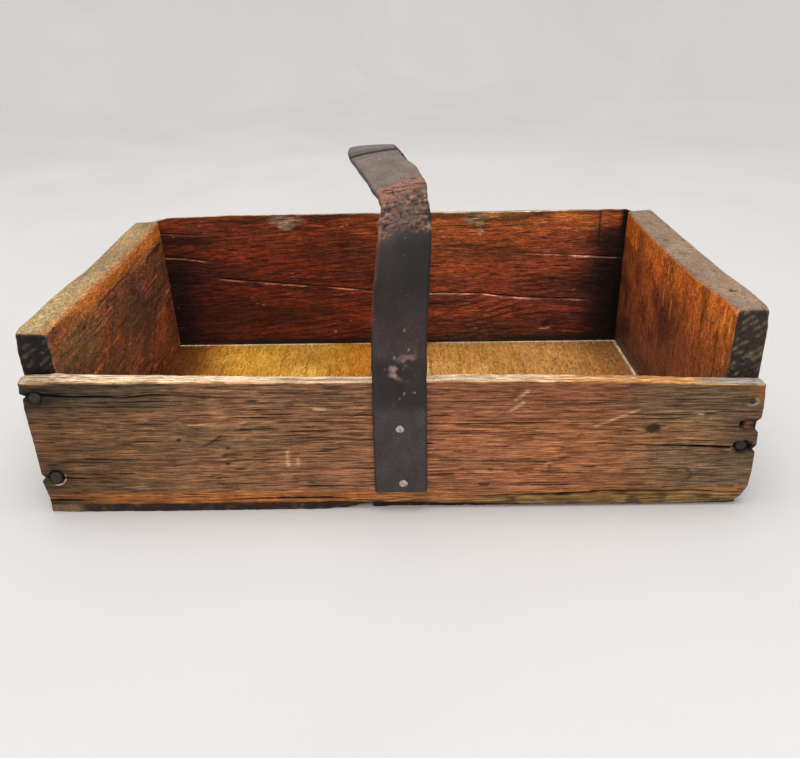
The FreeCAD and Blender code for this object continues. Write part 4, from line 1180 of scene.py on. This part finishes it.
def nail_heads(node, count, row_axis, aim_axis, outwards, dome, material, seed, tilt=0.0, drift=0.0):
    """Worn hammered heads where the CAD has its nails, each with a short length of shank."""
    low, high = extent(node)
    side = ({0, 1, 2} - {aim_axis} - ({row_axis} if row_axis is not None else set())).pop()
    radius = (high[side] - low[side] - abs(drift)) / 2
    surface = (high if outwards > 0 else low)[aim_axis] - outwards * dome
    draw = np.random.default_rng(seed)
    turns, rings = 36, [(0.0, 1.0), (0.25, 0.99), (0.5, 0.93), (0.72, 0.8), (0.88, 0.58), (0.97, 0.32),
        (1.0, 0.12), (0.98, -0.12)]
    rings += [(0.9, -0.3), (0.6, -0.35), (0.42, -0.4), (0.41, -1.5), (0.40, -4.0), (0.0, -4.4)]
    points, faces, dark = [], [], []
    for nail in range(count):
        centre = (low + high) / 2
        if row_axis is not None:
            first, last = low[row_axis] + radius, high[row_axis] - radius
            share = nail / max(count - 1, 1)
            centre[row_axis] = first + (last - first) * share
            centre[side] += drift * (share - 0.5)
        centre[aim_axis] = surface
        axes = [a for a in range(3) if a != aim_axis]
        lean = draw.uniform(-tilt, tilt, 2)
        squash = draw.uniform(0.94, 1.03, 2)
        base = len(points)
        for ring, (reach, lift) in enumerate(rings):
            for turn in range(turns):
                angle = 2 * math.pi * turn / turns
                p = np.array([math.cos(angle), math.sin(angle)]) * reach * radius * squash
                bump = noise(np.array([[p[0], p[1], 7.0 * nail + seed]]), (1.6, 1.6, 1), seed)[0]
                p *= 1 + (0.035 * bump if reach > 0.8 else 0)
                q = centre.copy()
                q[axes[0]] += p[0]
                q[axes[1]] += p[1]
                q[aim_axis] += outwards * (lift * dome * (1 + 0.12 * bump) + float(p @ lean))
                points.append(q)
                dark.append(ramp(reach, 0.82, 1.0) * 0.6 + (0.3 if lift < 0 else 0))
        for ring in range(len(rings) - 1):
            for turn in range(turns):
                a, b = base + ring * turns + turn, base + ring * turns + (turn + 1) % turns
                faces.append([a, b, b + turns, a + turns])
    points = np.array(points)
    corners = points[np.array(faces)]
    volume = np.einsum("ij,ij->", corners[:, 0], np.cross(corners[:, 1], corners[:, 2]))
    if volume < 0:
        faces = [f[::-1] for f in faces]
    piece = make_mesh(node + "_heads", points, faces, np.ones((len(points), 3)), np.array(dark), material)
    weld = piece.modifiers.new("weld", "WELD")
    weld.merge_threshold = 0.00002
    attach(piece, "root")
    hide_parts(node)


def build_nails():
    rusty = iron("rusty_iron", (0.05, 0.042, 0.037, 1), (0.03, 0.02, 0.015, 1), 0.6, 0.4)
    bright = iron("worn_steel", (0.62, 0.56, 0.5, 1), (0.3, 0.2, 0.15, 1), 0.9, 0.3)
    single = [("front_left_upper_nail", 1.4), ("front_left_lower_nail", 1.4), ("front_right_small_nail", 0.5),
              ("front_right_sunken_nail", 1.4)]
    for seed, (node, dome) in enumerate(single):
        nail_heads(node, 1, None, 1, -1, dome, rusty, 5 + seed, 0.05)
    nail_heads("strap_front_tacks", 2, 2, 1, -1, 1.2, bright, 21, 0.06, FRONT_TACKS_DRIFT)
    nail_heads("strap_rear_tacks", 2, 2, 1, 1, 1.2, bright, 22, 0.06, BACK_TACKS_DRIFT)
    for seed, node in enumerate(("back_left_nails", "back_right_nails")):
        nail_heads(node, 3, 2, 1, 1, 1.4, rusty, 31 + seed, 0.04)
    for seed, (node, count, axis) in enumerate((
        ("bottom_front_nails", 6, 0), ("bottom_back_nails", 6, 0), ("bottom_left_nails", 4, 1),
        ("bottom_right_nails", 4, 1),
    )):
        nail_heads(node, count, axis, 2, -1, 0.8, rusty, 41 + seed)


# ---- the whole box ----

slots = {
    front_board(): "wood_front",
    back_board(): "wood_back",
    left_end_board(): "wood_end",
    right_end_board(): "wood_end",
    bottom_board("bottom_board_left", 121): "wood_floor",
    bottom_board("bottom_board_right", 141): "wood_floor",
}
build_strap()
build_nails()

# ---- floor, light and camera ----


def pale_floor():
    """A round floor that curves up into a low wall, so that no horizon shows."""
    n = Nodes("pale_floor")
    colour = n.mix("MIX", n.noise((2.2, 2.2, 1.2), 2.0, 0.5, 1.5), (0.71, 0.70, 0.69, 1),
        (0.84, 0.83, 0.82, 1))
    n.finish(colour, 0.9, n.noise((300, 300, 300)), 0.05, 0.0003)
    flat, bend, wall, turns = 1.5, 0.9, 1.2, 96
    profile = [(0.0, 0.0), (flat, 0.0)]
    profile += [(flat + bend * math.sin(t), bend * (1 - math.cos(t))) for t in np.linspace(0.1, math.pi
        / 2, 14)]
    profile.append((flat + bend, bend + wall))
    points = [(0.0, 0.0, 0.0)]
    for reach, height in profile[1:]:
        for angle in np.linspace(0, 2 * math.pi, turns, endpoint=False):
            points.append((reach * math.cos(angle), reach * math.sin(angle), height))
    faces = [(0, 1 + i, 1 + (i + 1) % turns) for i in range(turns)]
    for ring in range(len(profile) - 2):
        low, high = 1 + ring * turns, 1 + (ring + 1) * turns
        faces += [(low + i, high + i, high + (i + 1) % turns, low + (i + 1) % turns) for i in range(turns)]
    mesh = bpy.data.meshes.new("floor")
    mesh.from_pydata(points, [], faces)
    mesh.shade_smooth()
    mesh.materials.append(n.material)
    floor = bpy.data.objects.new("floor", mesh)
    bpy.context.scene.collection.objects.link(floor)


def soft_light(name, place, size, watts, colour):
    """A square soft light that faces the box."""
    data = bpy.data.lights.new(name, "AREA")
    data.size, data.energy, data.color = size, watts, colour
    lamp = bpy.data.objects.new(name, data)
    lamp.location = place
    lamp.rotation_euler = (Vector((0, 0, 0.05)) - Vector(place)).to_track_quat("-Z", "Y").to_euler()
    bpy.context.scene.collection.objects.link(lamp)


LENS, SENSOR = 36.9, 36.0
EYE_PLACE = (0.00716, -0.54789, 0.28079)
PITCH, YAW, ROLL = 24.951, -0.255, -0.795


def camera():
    pitch, yaw, roll = math.radians(PITCH), math.radians(YAW), math.radians(ROLL)
    ahead = Vector((math.sin(yaw) * math.cos(pitch), math.cos(yaw) * math.cos(pitch), -math.sin(pitch)))
    right = Vector((math.cos(yaw), -math.sin(yaw), 0))
    up = right.cross(ahead)
    side = math.cos(roll) * right + math.sin(roll) * up
    top = -math.sin(roll) * right + math.cos(roll) * up
    data = bpy.data.cameras.new("camera")
    data.lens, data.sensor_width = LENS, SENSOR
    data.clip_start = 0.01
    eye = bpy.data.objects.new("camera", data)
    eye.matrix_world = Matrix.Translation(EYE_PLACE) @ Matrix((side, top,
        -ahead)).transposed().to_4x4()
    bpy.context.scene.collection.objects.link(eye)
    bpy.context.scene.camera = eye


pale_floor()
soft_light("overhead", (-0.1, -0.1, 2.1), 1.6, 22, (1.0, 0.99, 0.985))
soft_light("front", (0.35, -1.5, 1.2), 1.2, 6.5, (1.0, 0.99, 0.985))
world = bpy.data.worlds.new("studio")
world.use_nodes = True
world.node_tree.nodes["Background"].inputs["Color"].default_value = (1.0, 0.995, 0.99, 1)
world.node_tree.nodes["Background"].inputs["Strength"].default_value = 0.62
bpy.context.scene.world = world
bpy.context.scene.view_settings.view_transform = "Standard"
camera()
